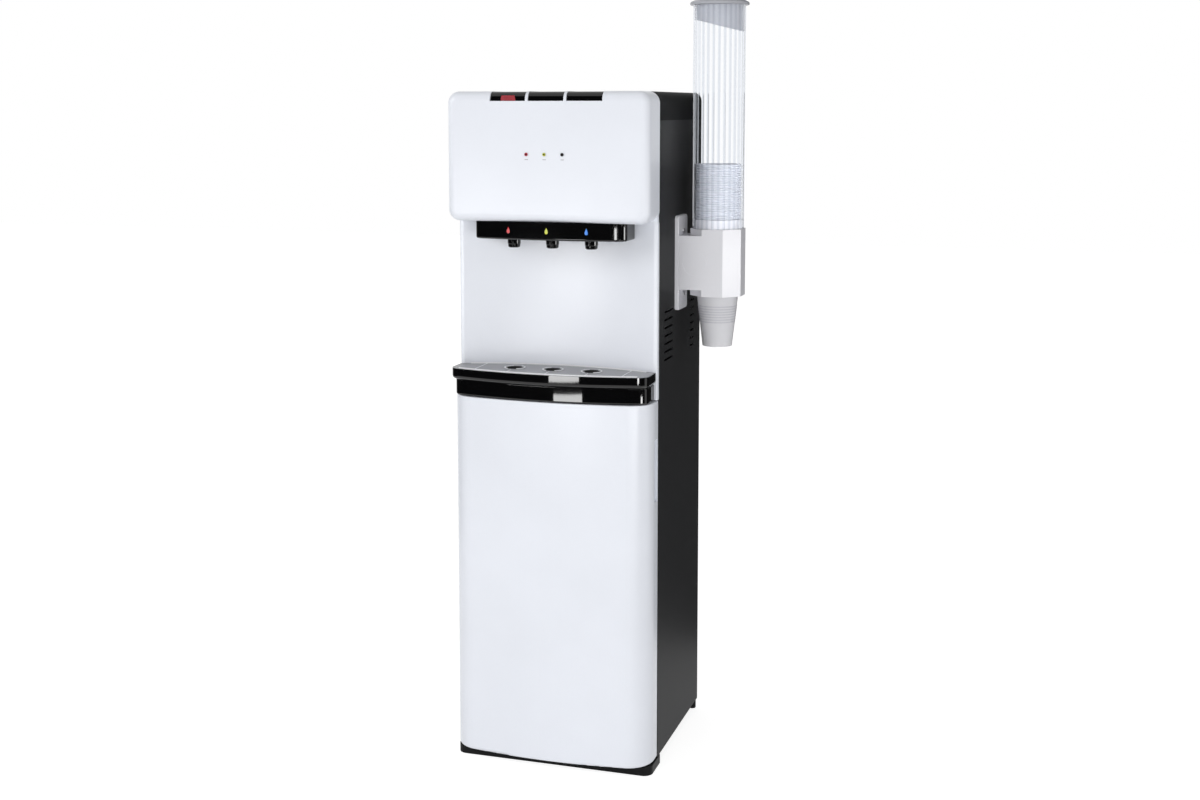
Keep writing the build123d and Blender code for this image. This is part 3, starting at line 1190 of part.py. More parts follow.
def condenser_wires():
    """Upright wires on both faces of the condenser tube."""
    reach = CONDENSER_TUBE_RADIUS + WIRE_RADIUS
    z0 = CONDENSER_BOTTOM_Z - WIRE_OVERHANG
    z1 = CONDENSER_BOTTOM_Z + (CONDENSER_RUNS - 1) * CONDENSER_RUN_PITCH + WIRE_OVERHANG
    middle = (WIRE_COUNT - 1) / 2
    group = []
    for y in (condenser_y() - reach, condenser_y() + reach):
        for k in range(WIRE_COUNT):
            group.append(post(WIRE_RADIUS, (k - middle) * WIRE_PITCH, y, z0, z1))
    return group


def filter_drier():
    """Copper drier with tapered ends, lying on the divider."""
    taper_end = DRIER_STUB_LENGTH + DRIER_TAPER
    profile = [
        (0, 0),
        (DRIER_STUB_RADIUS, 0),
        (DRIER_STUB_RADIUS, DRIER_STUB_LENGTH),
        (DRIER_RADIUS, taper_end),
        (DRIER_RADIUS, DRIER_LENGTH - taper_end),
        (DRIER_STUB_RADIUS, DRIER_LENGTH - DRIER_STUB_LENGTH),
        (DRIER_STUB_RADIUS, DRIER_LENGTH),
        (0, DRIER_LENGTH),
    ]
    z = DIVIDER_TOP_Z + DRIER_RADIUS + SEAT_GAP / 2
    place = Pos(FIT_X - DRIER_SIDE_INSET, COMPRESSOR_Y - COMPRESSOR_RADIUS, z)
    return place * Rot(-90, 0, 0) * turned(profile)


def pump_axis_z():
    """Height of the pump's motor axis."""
    return DIVIDER_TOP_Z + PUMP_MOTOR_RADIUS + PUMP_FOOT_RISE


def water_pump():
    """Motor, pump head and mounting foot."""
    z = pump_axis_z()
    front = PUMP_Y - PUMP_MOTOR_LENGTH
    rear = PUMP_Y + PUMP_HEAD_LENGTH
    motor = bar_y(PUMP_MOTOR_RADIUS, PUMP_X, front, PUMP_Y + 1, z)
    motor = fillet(motor.edges().sort_by(Axis.Y)[0], 5)
    reach = PUMP_MOTOR_RADIUS + PUMP_HEAD_MARGIN
    head = block(PUMP_X - reach, PUMP_X + reach, PUMP_Y, rear, z - reach, z + reach)
    head = fillet(head.edges().filter_by(Axis.Y), 6)
    half = PUMP_FOOT_WIDTH / 2
    foot_top = z - PUMP_MOTOR_RADIUS + PUMP_FOOT_RISE / 2
    foot = block(PUMP_X - half, PUMP_X + half, front + PUMP_FOOT_INSET, rear - 5, DIVIDER_TOP_Z, foot_top)
    return motor + head + foot


def probe_collar_z():
    """Underside of the probe's collar."""
    return DIVIDER_Z - PROBE_COLLAR_DROP


def bottle_probe():
    """Collar, dip tube and strainer, parked in the rear left corner of the bay."""
    z1 = probe_collar_z()
    z0 = BOTTLE_FLOOR_Z + PROBE_FLOOR_GAP
    neck = PROBE_STRAINER_RADIUS - 1
    top = z1 + PROBE_COLLAR_HEIGHT
    profile = [
        (0, z0),
        (PROBE_STRAINER_RADIUS, z0),
        (PROBE_STRAINER_RADIUS, z0 + PROBE_STRAINER_HEIGHT),
        (PROBE_TUBE_RADIUS, z0 + PROBE_STRAINER_HEIGHT + 4),
        (PROBE_TUBE_RADIUS, z1),
        (PROBE_COLLAR_RADIUS - 2, z1),
        (PROBE_COLLAR_RADIUS, z1 + 2),
        (PROBE_COLLAR_RADIUS, top - 14),
        (PROBE_COLLAR_RADIUS - 6, top - 8),
        (neck, top - 5),
        (neck, top),
        (0, top),
    ]
    return Pos(PROBE_X, PROBE_Y, 0) * turned(profile)


def feed_hose():
    """Hose from the probe up through the divider to the pump."""
    z = pump_axis_z()
    return hose(
        [
            (PROBE_X, PROBE_Y, probe_collar_z() + PROBE_COLLAR_HEIGHT),
            (PROBE_X, PROBE_Y, z),
            (PUMP_X, PROBE_Y, z),
            (PUMP_X, PUMP_Y + PUMP_HEAD_LENGTH + SEAT_GAP / 2, z),
        ],
        HOSE_TIGHT_BEND,
    )


def power_board():
    """Closed control box on the left side panel."""
    y0 = SIDE_FRONT_Y + POWER_BOX_SETBACK
    z1 = TANK_SHELF_Z - POWER_BOX_DROP
    box = block(-FIT_X, -FIT_X + POWER_BOX_DEPTH, y0, y0 + POWER_BOX_LENGTH, z1 - POWER_BOX_HEIGHT, z1)
    return fillet(box.edges().filter_by(Axis.X), POWER_BOX_CORNER_RADIUS)


def switch_bezels():
    """Frames of the two rocker switches in the upper back panel."""
    group = []
    y1 = UPPER_BACK_Y + SHEET_THICKNESS
    front = y1 - BEZEL_DEPTH
    face = y1 + BEZEL_FLANGE_THICKNESS
    hole_x = bezel_half_x()
    hole_z = bezel_half_z()
    box_x = hole_x + BEZEL_WALL
    box_z = hole_z + BEZEL_WALL
    edge_x = hole_x + BEZEL_FLANGE
    edge_z = hole_z + BEZEL_FLANGE
    for x in ROCKER_X:
        flange = block(x - edge_x, x + edge_x, y1, face, ROCKER_Z - edge_z, ROCKER_Z + edge_z)
        flange = fillet(flange.edges().filter_by(Axis.Y), 2)
        box = block(x - box_x, x + box_x, front, y1, ROCKER_Z - box_z, ROCKER_Z + box_z)
        pocket = block(x - hole_x, x + hole_x, front + 3, face + 1, ROCKER_Z - hole_z, ROCKER_Z + hole_z)
        group.append(flange + box - pocket)
    return group


def rocker(x):
    """A rocker with a shallow valley, turning on a barrel across the bezel."""
    y = UPPER_BACK_Y + SHEET_THICKNESS - ROCKER_PIVOT_DEPTH
    h = ROCKER_HALF_HEIGHT
    profile = Polyline(
        (y - 3, -h + 1.4),
        (y + 4, -h),
        (y + 7.4, -h),
        (y + 5.8, 0),
        (y + 7.4, h),
        (y + 4, h),
        (y - 3, h - 1.4),
        close=True,
    )
    body = extrude(Plane.YZ * make_face(profile), amount=ROCKER_HALF_WIDTH, both=True)
    body += bar_x(ROCKER_BARREL_RADIUS, -ROCKER_HALF_WIDTH, ROCKER_HALF_WIDTH, y, 0)
    return Pos(x, y, ROCKER_Z) * Rot(-ROCKER_TILT, 0, 0) * Pos(0, -y, 0) * body


def drain_caps():
    """Screwed drain caps under the condenser."""
    group = []
    y0 = UPPER_BACK_Y + SHEET_THICKNESS + SEAT_GAP / 2
    y1 = y0 + DRAIN_CAP_LENGTH
    z = back_port_z()
    for x in DRAIN_XS:
        stub = bar_y(BACK_PORT_RADIUS - SEAT_GAP, x, y0 - DRAIN_STUB_LENGTH, y0, z)
        cap = bar_y(DRAIN_CAP_RADIUS, x, y0, y1, z)
        cap = fillet(cap.edges().sort_by(Axis.Y)[-1], 1.5)
        flute = Pos(DRAIN_CAP_RADIUS + SEAT_GAP, 0, 0) * bar_y(DRAIN_FLUTE_RADIUS, 0, y0 + 2, y1 + 1, 0)
        for k in range(DRAIN_CAP_FLUTES):
            cap -= Pos(x, 0, z) * Rot(0, 360 * k / DRAIN_CAP_FLUTES, 0) * flute
        group.append(stub + cap)
    return group


def cord_gland():
    """Grommet where the supply enters."""
    y0 = UPPER_BACK_Y + SHEET_THICKNESS + SEAT_GAP / 2
    y1 = y0 + GLAND_LENGTH
    z = back_port_z()
    stub = bar_y(BACK_PORT_RADIUS - SEAT_GAP, CORD_X, y0 - DRAIN_STUB_LENGTH, y0, z)
    flange = bar_y(GLAND_FLANGE_RADIUS, CORD_X, y0, y0 + GLAND_LENGTH / 4, z)
    nose = bar_y(GLAND_NOSE_RADIUS, CORD_X, y0, y1, z)
    nose = fillet(nose.edges().sort_by(Axis.Y)[-1], 2)
    return stub + flange + nose - bar_y(CORD_RADIUS, CORD_X, y0 + GLAND_LENGTH / 3, y1 + 1, z)


def cup_screw_levels():
    """Heights of the two screws in the wall plate, below and above the neck."""
    return (CUP_PLATE_Z + CUP_SCREW_INSET, CUP_PLATE_Z + CUP_PLATE_HEIGHT - CUP_SCREW_INSET)


def cup_bracket():
    """Wall plate on the right side panel, flush in front with the housing."""
    face = RectangleRounded(CUP_PLATE_WIDTH, CUP_PLATE_HEIGHT, CUP_PLATE_CORNER_RADIUS)
    place = Pos(HALF_WIDTH, CUP_PLATE_Y, CUP_PLATE_Z + CUP_PLATE_HEIGHT / 2)
    plate = place * extrude(Plane.YZ * face, amount=CUP_PLATE_THICKNESS)
    plate = fillet(plate.faces().sort_by(Axis.X)[-1].edges(), CUP_PLATE_ROUNDING)
    for z in cup_screw_levels():
        plate -= bar_x(SCREW_SHANK_RADIUS, HALF_WIDTH - 1, CUP_PLATE_X + 1, CUP_PLATE_Y, z)
    return plate


def bracket_screws():
    """Screws through the wall plate into the side panel."""
    group = []
    for z in cup_screw_levels():
        place = Pos(CUP_PLATE_X, CUP_PLATE_Y, z) * Rot(0, 90, 0)
        group.append(place * screw(CUP_PLATE_THICKNESS + SHEET_THICKNESS))
    return group


def side_panel_right():
    """Right side sheet drilled for the cup dispenser."""
    panel = side_panel()
    for z in cup_screw_levels():
        panel -= bar_x(SCREW_SHANK_RADIUS, PANEL_INNER_X - 2, HALF_WIDTH + 2, CUP_PLATE_Y, z)
    return panel


def cup_housing():
    """Eight-sided housing on a flush neck, with a spigot for the tube and a ring that grips the cups."""
    z0 = CUP_HOUSING_Z
    z1 = CUP_HOUSING_TOP_Z
    top = z1 + CUP_SPIGOT_HEIGHT
    half_turn = 180 / CUP_HOUSING_SIDES
    plan = RegularPolygon(CUP_HOUSING_HALF, CUP_HOUSING_SIDES, major_radius=False, rotation=half_turn)
    barrel = upright(Pos(CUP_X, CUP_AXIS_Y) * plan, z0, z1)
    low = z0 + CUP_NECK_INSET
    high = z1 - CUP_NECK_INSET
    wall = CUP_NECK_WALL
    neck = block(CUP_PLATE_X, CUP_X, CUP_FRONT_Y, CUP_PLATE_REAR_Y, low, high)
    space = block(CUP_PLATE_X, CUP_X, CUP_FRONT_Y + wall, CUP_PLATE_REAR_Y - wall, low + wall, high - wall)
    spigot = post(CUP_TUBE_RADIUS - CUP_TUBE_WALL - SEAT_GAP / 2, CUP_X, CUP_AXIS_Y, z1, top)
    body = barrel + (neck - (space - barrel)) + spigot
    ring_x = CUP_PLATE_X + CUP_RING_RADIUS + CUP_PLATE_THICKNESS
    ring_z = (z0 + z1) / 2
    groove = bar_y(CUP_RING_RADIUS, ring_x, CUP_FRONT_Y - 1, CUP_FRONT_Y + CUP_RING_DEPTH, ring_z)
    groove -= bar_y(CUP_RING_RADIUS - CUP_RING_WIDTH, ring_x, CUP_FRONT_Y - 2, CUP_FRONT_Y + 2, ring_z)
    bore = post(CUP_HOUSING_BORE, CUP_X, CUP_AXIS_Y, z0 - 1, top + 1)
    grip_z = CUP_RIM_Z - 3 * CUP_RIM_HEIGHT
    collar = post(CUP_HOUSING_BORE, CUP_X, CUP_AXIS_Y, grip_z, CUP_RIM_Z + 1)
    collar -= post(CUP_RIM_RADIUS + SEAT_GAP, CUP_X, CUP_AXIS_Y, grip_z - 1, CUP_RIM_Z + 2)
    return body - groove - (bore - collar)


def cup_tube():
    """Clear tube with upright ribs."""
    skin = CUP_TUBE_RADIUS - CUP_RIB_HEIGHT
    ring = Circle(skin) - Circle(CUP_TUBE_RADIUS - CUP_TUBE_WALL)
    rib = Pos(skin, 0) * Rectangle(2 * CUP_RIB_HEIGHT, CUP_RIB_WIDTH)
    for k in range(CUP_TUBE_RIBS):
        ring += Rot(0, 0, 360 * k / CUP_TUBE_RIBS) * rib
    return Pos(CUP_X, CUP_AXIS_Y, 0) * upright(ring, CUP_HOUSING_TOP_Z, CUP_TUBE_TOP_Z)


def cup_cap():
    """Domed cap with a plug skirt cut on a slant."""
    z0 = CUP_TUBE_TOP_Z + SEAT_GAP / 2
    brim_top = z0 + CAP_BRIM_THICKNESS
    plug = CUP_TUBE_RADIUS - CUP_TUBE_WALL - SEAT_GAP
    dome = [
        (0, brim_top + CAP_DOME_RISE - CAP_WALL),
        (0, brim_top + CAP_DOME_RISE),
        (CAP_BRIM_RADIUS * 0.5, brim_top + CAP_DOME_RISE * 0.82),
        (CAP_BRIM_RADIUS * 0.82, brim_top + CAP_DOME_RISE * 0.4),
        (CAP_BRIM_RADIUS - 1.5, brim_top),
        (CAP_BRIM_RADIUS, brim_top - 1.5),
        (CAP_BRIM_RADIUS, z0 + 1),
        (CAP_BRIM_RADIUS - 1, z0),
        (plug, z0),
        (plug, z0 - CAP_SKIRT_LONG),
        (plug - CAP_WALL, z0 - CAP_SKIRT_LONG),
        (plug - CAP_WALL, z0 + 1),
        (CAP_BRIM_RADIUS * 0.5, brim_top + CAP_DOME_RISE * 0.82 - CAP_WALL - 1),
    ]
    cap = turned(dome)
    rise = CAP_SKIRT_LONG - CAP_SKIRT_SHORT
    wedge = Polyline(
        (-plug - 2, z0 - CAP_SKIRT_SHORT),
        (plug + 2, z0 - CAP_SKIRT_SHORT - rise),
        (plug + 2, z0 - CAP_SKIRT_LONG - 2),
        (-plug - 2, z0 - CAP_SKIRT_LONG - 2),
        close=True,
    )
    cut = extrude(Plane.XZ * make_face(wedge), amount=plug + 2, both=True)
    return Pos(CUP_X, CUP_AXIS_Y, 0) * (cap - cut)


def cup_side_radius(z):
    """Outside radius of the lowest cup's wall at a height."""
    top = CUP_RIM_RADIUS - CUP_RIM_LIP
    return CUP_BASE_RADIUS + (top - CUP_BASE_RADIUS) * (z - CUP_BOTTOM_Z) / CUP_HEIGHT


def pull_cup():
    """The lowest cup, ready to be pulled down."""
    z0 = CUP_BOTTOM_Z
    z1 = CUP_RIM_Z
    rim_z = z1 - CUP_RIM_HEIGHT
    floor = z0 + 2 * CUP_WALL
    profile = [
        (0, floor),
        (CUP_BASE_RADIUS - 2 * CUP_WALL, floor),
        (CUP_BASE_RADIUS - 1.5 * CUP_WALL, z0),
        (CUP_BASE_RADIUS, z0),
        (cup_side_radius(rim_z), rim_z),
        (CUP_RIM_RADIUS, rim_z),
        (CUP_RIM_RADIUS, z1),
        (cup_side_radius(z1) - CUP_WALL, z1),
        (cup_side_radius(floor + CUP_WALL) - CUP_WALL, floor + CUP_WALL),
        (0, floor + CUP_WALL),
    ]
    return Pos(CUP_X, CUP_AXIS_Y, 0) * turned(profile)


def cup_stack():
    """Nested cups above the lowest one, their rims stepped up the tube."""
    base = CUP_BOTTOM_Z + CUP_NEST_RISE
    gap = CUP_WALL + CUP_NEST_GAP
    z = CUP_RIM_Z + CUP_NEST_GAP / 2
    top = CUP_HOUSING_TOP_Z + CUP_RIM_HEIGHT + CUP_RIMS_SHOWN * CUP_RIM_PITCH
    floor = top - CUP_HEIGHT
    inner = CUP_RIM_RADIUS - CUP_RIM_LIP - CUP_WALL
    groove = CUP_RIM_RADIUS - CUP_RIM_LIP * 0.7
    profile = [(0, base), (cup_side_radius(base) - gap, base)]
    profile += [(cup_side_radius(z) - gap, z), (CUP_RIM_RADIUS, z)]
    for k in range(CUP_RIMS_SHOWN):
        level = top - (CUP_RIMS_SHOWN - k) * CUP_RIM_PITCH
        profile.append((CUP_RIM_RADIUS, level - 0.6))
        profile.append((groove, level + 0.4))
        profile.append((CUP_RIM_RADIUS, level + 1.4))
    profile += [(CUP_RIM_RADIUS, top), (inner, top), (CUP_BASE_RADIUS - CUP_WALL, floor), (0, floor)]
    return Pos(CUP_X, CUP_AXIS_Y, 0) * turned(profile)


def build_nodes():
    """Every separate piece by name."""
    hot_button = button(BUTTON_XS[0])
    behind = BUTTON_FACE_Y + BUTTON_WALL
    hot_button -= lock_prism(LOCK_CLEARANCE, BUTTON_FACE_Y - 2, behind + 9)
    hot_button -= lock_prism(LOCK_FLANGE + LOCK_CLEARANCE, behind, behind + 9)
    return {
        "base_pan": base_pan(),
        "side_panel_left": mirrored(side_panel()),
        "side_panel_right": side_panel_right(),
        "back_panel_lower": back_panel_lower(),
        "panel_screws": panel_screws(),
        "back_panel_upper": back_panel_upper(),
        "divider_shelf": divider_shelf(),
        "tank_shelf": tank_shelf(),
        "top_cover": top_cover(),
        "fascia": fascia(),
        "head_panel": head_panel(),
        "button_rod": bar_x(BUTTON_ROD_RADIUS, -rod_reach(), rod_reach(), ROD_Y, ROD_Z),
        "button_switches": button_switches(),
        "button_hot": hot_button,
        "button_warm": button(BUTTON_XS[1]),
        "button_cold": button(BUTTON_XS[2]),
        "child_lock": child_lock(),
        "indicator_hot": indicator(indicator_xs()[0]),
        "indicator_cold": indicator(indicator_xs()[1]),
        "indicator_empty": indicator(indicator_xs()[2]),
        "spout_bar": spout_bar(),
        "spout_hot": spout(SPOUT_XS[0]),
        "spout_warm": spout(SPOUT_XS[1]),
        "spout_cold": spout(SPOUT_XS[2]),
        "tap_valves": tap_valves(),
        "tap_hoses": tap_hoses(),
        "tray_holder": tray_holder(),
        "drip_tray": drip_tray(),
        "drip_grille": drip_grille(),
        "door_shell": door_shell(),
        "door_liner": door_liner(),
        "door_hinge_pins": door_hinge_pins(),
        "magnet_catch": magnet_catch(),
        "bottle_probe": bottle_probe(),
        "feed_hose": feed_hose(),
        "compressor": compressor(),
        "compressor_grommets": compressor_grommets(),
        "condenser_tube": condenser_tube(),
        "condenser_wires": condenser_wires(),
        "filter_drier": filter_drier(),
        "cold_tank": cold_tank(),
        "evaporator_sleeve": evaporator_sleeve(),
        "cold_tank_insulation": cold_tank_insulation(),
        "hot_tank": hot_tank(),
        "hot_tank_jacket": hot_tank_jacket(),
        "water_pump": water_pump(),
        "power_board": power_board(),
        "switch_bezels": switch_bezels(),
        "hot_switch": rocker(ROCKER_X[0]),
        "cold_switch": rocker(ROCKER_X[1]),
        "drain_caps": drain_caps(),
        "cord_gland": cord_gland(),
        "cup_bracket": cup_bracket(),
        "bracket_screws": bracket_screws(),
        "cup_housing": cup_housing(),
        "cup_tube": cup_tube(),
        "cup_cap": cup_cap(),
        "cup_stack": cup_stack(),
        "pull_cup": pull_cup(),
    }


os.makedirs("parts", exist_ok=True)
for name, shape in build_nodes().items():
    if isinstance(shape, list):
        shape = Compound(children=[Solid(piece.solids()[0].wrapped) for piece in shape])
    export_step(shape, "parts/" + name + ".step")
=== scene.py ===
import json
import math

import bmesh
import bpy
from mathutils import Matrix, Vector
from mathutils.bvhtree import BVHTree


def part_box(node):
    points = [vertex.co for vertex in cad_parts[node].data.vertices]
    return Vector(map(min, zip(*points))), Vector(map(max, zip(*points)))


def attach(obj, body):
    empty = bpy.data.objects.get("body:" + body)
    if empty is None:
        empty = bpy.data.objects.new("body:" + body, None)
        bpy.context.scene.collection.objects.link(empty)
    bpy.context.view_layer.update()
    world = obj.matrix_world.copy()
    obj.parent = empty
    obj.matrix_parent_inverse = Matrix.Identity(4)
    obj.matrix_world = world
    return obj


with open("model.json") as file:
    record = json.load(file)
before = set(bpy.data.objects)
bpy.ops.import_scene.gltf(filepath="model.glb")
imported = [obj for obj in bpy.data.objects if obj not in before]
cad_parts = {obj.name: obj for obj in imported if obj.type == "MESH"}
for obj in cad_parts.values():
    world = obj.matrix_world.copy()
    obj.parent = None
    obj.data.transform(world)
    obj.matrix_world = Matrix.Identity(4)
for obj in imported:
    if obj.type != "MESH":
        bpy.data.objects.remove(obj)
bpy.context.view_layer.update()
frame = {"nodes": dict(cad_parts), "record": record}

# Water cooler in a white studio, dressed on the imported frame. Metres, +Z up, the front faces -Y.
NODES = frame["nodes"]

# Camera at the photograph's viewing angle, with its focal length and centre row in the photograph's pixels
IMAGE_WIDTH = 1200
IMAGE_HEIGHT = 800
FOCAL_PIXELS = 1570.9
CENTRE_ROW = 273.0
SENSOR_WIDTH_MM = 36.0
CAMERA_PLACE = (0.7510, -2.3165, 0.9900)
CAMERA_TILT_DEG = 6.0
CAMERA_TURN_DEG = 17.308
CAMERA_REACH = 50.0

# Floor and surround
FLOOR_HALF = 9.0
FLOOR_DROP = 0.0004
FLOOR_GREY = 0.9
FLOOR_TONES = (0.895, 0.905)
FLOOR_ROUGHNESS = 0.9
FLOOR_NOISE_SCALE = 3.0
FLOOR_WHITE_SHARE = 0.5
FLOOR_WHITE_STRENGTH = 1.66
AMBIENT_STRENGTH = 0.48

# Soft boxes: place, aim, width, height, power in watts
SOFT_BOXES = {
    "key_box": ((-1.9, -1.7, 1.7), (0.0, -0.1, 0.9), 1.0, 1.0, 18.5),
    "fill_box": ((1.5, -1.9, 0.45), (0.0, 0.0, 0.3), 0.7, 0.9, 11.0),
    "front_box": ((0.1, -2.9, 0.75), (0.0, 0.0, 0.6), 1.4, 1.4, 13.0),
}

# Black studio flags that only the gloss surfaces mirror: two ends on the floor, and a height
FLAGS = {
    "front_flag": ((-1.7, -1.45), (0.42, -1.95), 2.3),
    "right_flag": ((0.42, -1.95), (1.75, -0.35), 0.72),
    "side_flag": ((0.18, 0.45), (1.5, 0.32), 1.5),
    "left_flag": ((-1.7, -1.45), (-1.3, 0.5), 0.8),
}
FLAG_BLACK = (0.004, 0.004, 0.004)
FLAG_ROUGHNESS = 0.95
FLAG_GRAIN = 400.0
FLAG_RELIEF = 0.2

# Bright cards that the gloss surfaces mirror to the camera: the spot on the part where a card shows,
# the way the surface faces there in degrees from the front, the levels between which the card shows,
# its distance from the spot, its width and its radiance
GLINT_CARDS = {
    "rim_glint": ((0.034, -0.190), 3.4, (0.595, 0.640), 1.5, 0.315, 14.0),
    "band_glint": ((0.036, -0.179), 3.7, (0.547, 0.5755), 1.5, 0.300, 14.0),
    "rim_corner_glint": ((0.141, -0.173), 18.9, (0.595, 0.643), 1.2, 0.260, 22.0),
    "band_corner_glint": ((0.142, -0.162), 30.5, (0.545, 0.5745), 1.2, 0.400, 20.0),
    "bar_glint": ((0.101, -0.160), 10.3, (0.784, 0.818), 1.5, 0.014, 20.0),
    "bar_end_glint": ((0.114, -0.152), 49.8, (0.785, 0.819), 1.4, 0.400, 14.0),
    "spout_left_glint": ((0.0, -0.150), -2.3, (0.748, 0.786), 1.5, 0.500, 40.0),
    "spout_right_glint": ((0.0, -0.150), 49.8, (0.748, 0.786), 1.5, 0.500, 40.0),
}

# Colours that several finishes share
WHITE = (0.80, 0.825, 0.885)
CHARCOAL = (0.026, 0.0265, 0.028)
BLACK = (0.002, 0.002, 0.0023)

# Patterns of the finishes: where most of a noise value lies, scales, and strengths and depths of relief
NOISE_LOW = 0.3
NOISE_HIGH = 0.7
DRIFT_SCALE = 6.0
LINE_SCALE = 900.0
WAVE_SCALE = 160.0
SPANGLE_SCALE = 170.0
FOAM_BEAD_SCALE = 320.0
SPECK_SCALE = 900.0
FLOW_SCALE = 60.0
FLOW_STRETCH = (1.0, 1.0, 0.15)
GRAIN_DEPTH = 0.0002
LINE_RELIEF = 0.12
LINE_DEPTH = 0.0001
WAVE_RELIEF = 0.2
WAVE_DEPTH = 0.0003
DIMPLE_RELIEF = 0.5
DIMPLE_DEPTH = 0.0006

# Tones of the finishes as shares of their colour, and gloss as shares of their roughness
PLASTIC_TONES = (0.975, 1.02)
PLASTIC_GLOSS = (0.85, 1.15)
METAL_TONES = (0.88, 1.06)
METAL_GLOSS = (0.75, 1.3)
ENAMEL_TONES = (0.8, 1.3)
ENAMEL_GLOSS = (0.7, 1.3)
ZINC_TONES = (0.94, 1.05)
FOAM_TONES = (1.05, 0.85)
LENS_TONES = (0.8, 1.15)
CLEAR_TONES = (0.985, 1.0)
CLEAR_GLOSS = (0.7, 1.3)

# Zinc, foam and lenses
ZINC_METALLIC = 0.85
ZINC_ROUGHNESS = 0.42
ZINC_ROUGHNESS_RANGE = (0.38, 0.47)
ZINC_CELL_END = 0.9
FOAM_ROUGHNESS = 0.85
LENS_ROUGHNESS = 0.15

# Ribs of the clear cup tube, painted as darker lines of shade round its axis
TUBE_RIBS = 28
RIB_SHADE_EDGES = (0.12, 0.3)

# Start of the rays that find a node's surface
RAY_REACH = 1.0

# Water drops on the spout bar
DROP_COLORS = {"hot": (0.62, 0.02, 0.03), "warm": (0.56, 0.60, 0.03), "cold": (0.02, 0.22, 0.80)}
DROP_HEIGHT = 0.0098
DROP_WIDTH = 0.0068
DROP_PINCH = 1.6
DROP_LEVEL_SHARE = 0.55
DROP_THICKNESS = 0.0003
INK_ROUGHNESS = 0.35
INK_GRAIN = 1500.0
INK_RELIEF = 0.05
OUTLINE_STEPS = 40

# Marks on the indicator lenses, and the dashes below them
LENS_COLORS = {
    "indicator_hot": (0.42, 0.03, 0.05),
    "indicator_cold": (0.50, 0.52, 0.06),
    "indicator_empty": (0.02, 0.02, 0.024),
}
LENS_GLOW = 0.05
LENS_RING_RADIUS = 0.0025
LENS_CORE_RADIUS = 0.0012
DASH_DROP = 0.0075
DASH_SIZE = (0.0052, 0.0009)
MARK_THICKNESS = 0.0003

# Bright beads on the drip grille, painted highlights along its edges and grooves and painted glints at its
# cup rings. Its outline is read just above its underside, its top at a bare spot.
BEAD_WIDTH = 0.0012
BEAD_HEIGHT = 0.0003
BEAD_INSET = 0.0012
BEAD_END_X = 0.114
OUTLINE_RISE = 0.001
BARE_SPOT_X = 0.03
BARE_SPOT_INSET = 0.008
GROOVE_DEPTH = 0.0008
LIP_HEIGHT = 0.0018
LIP_END_GAP = 0.012
LIP_STEPS = 48
RING_RADIUS = 0.015
RING_WIDTH = 0.0020
RING_ARC_DEG = 62.0
RING_STEPS = 12
RING_GAP = 0.0018
# Grille holes, and the black sleeves in them that paint the shade inside the holes
GRILLE_HOLE_RADIUS = 0.0135
SLEEVE_THICKNESS = 0.0003
HOOP_STEPS = 64

# Grip rings round the cup that hangs out, counted up from its foot
CUP_RING_START = 0.038
CUP_RING_PITCH = 0.004
CUP_RING_COUNT = 7
CUP_RING_SIZE = 0.0008

# White ears of the fascia behind the head's lower corners
EAR_SIZE = 0.017
EAR_DEPTH = 0.006
EAR_SETBACK = 0.0005
EAR_CLEARANCE = 0.0003
EAR_RISE = 0.0002
EAR_STEPS = 12


def centre_of(node):
    """The middle of a node's box, across and along."""
    low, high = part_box(node)
    return (low.x + high.x) / 2, (low.y + high.y) / 2


def shade(color, factor):
    """A colour made lighter or darker."""
    return tuple(min(1.0, channel * factor) for channel in color)


def principled(name, color, roughness, **sockets):
    """A new material with its constant values on the shader's own sockets."""
    material = bpy.data.materials.new(name)
    material.use_nodes = True
    shader = material.node_tree.nodes["Principled BSDF"]
    shader.inputs["Base Color"].default_value = (*color, 1.0)
    shader.inputs["Roughness"].default_value = roughness
    for socket, value in sockets.items():
        shader.inputs[socket.replace("_", " ")].default_value = value
    return material, material.node_tree, shader


def noise(tree, scale, detail=3.0, stretch=(1.0, 1.0, 1.0)):
    """Noise that is fixed to the part, as a value around one half."""
    place = tree.nodes.new("ShaderNodeTexCoord")
    mapping = tree.nodes.new("ShaderNodeMapping")
    mapping.inputs["Scale"].default_value = stretch
    texture = tree.nodes.new("ShaderNodeTexNoise")
    texture.inputs["Scale"].default_value = scale
    texture.inputs["Detail"].default_value = detail
    tree.links.new(place.outputs["Object"], mapping.inputs["Vector"])
    tree.links.new(mapping.outputs["Vector"], texture.inputs["Vector"])
    return texture.outputs["Fac"]


def cells(tree, scale):
    """Voronoi cells that are fixed to the part."""
    place = tree.nodes.new("ShaderNodeTexCoord")
    texture = tree.nodes.new("ShaderNodeTexVoronoi")
    texture.inputs["Scale"].default_value = scale
    tree.links.new(place.outputs["Object"], texture.inputs["Vector"])
    return texture


def ranged(tree, value, low, high, start=NOISE_LOW, end=NOISE_HIGH):
    """A value brought into a range."""
    node = tree.nodes.new("ShaderNodeMapRange")
    node.inputs["From Min"].default_value = start
    node.inputs["From Max"].default_value = end
    node.inputs["To Min"].default_value = low
    node.inputs["To Max"].default_value = high
    tree.links.new(value, node.inputs["Value"])
    return node.outputs["Result"]


def tinted(tree, shader, value, low, high, edges=(NOISE_LOW, NOISE_HIGH)):
    """Base colour that drifts between two colours."""
    ramp = tree.nodes.new("ShaderNodeValToRGB")
    for element, edge, color in zip(ramp.color_ramp.elements, edges, (low, high)):
        element.position = edge
        element.color = (*color, 1.0)
    tree.links.new(value, ramp.inputs["Fac"])
    tree.links.new(ramp.outputs["Color"], shader.inputs["Base Color"])


def toned(tree, shader, value, color, tones):
    """Base colour that drifts between two tones of one colour."""
    tinted(tree, shader, value, shade(color, tones[0]), shade(color, tones[1]))


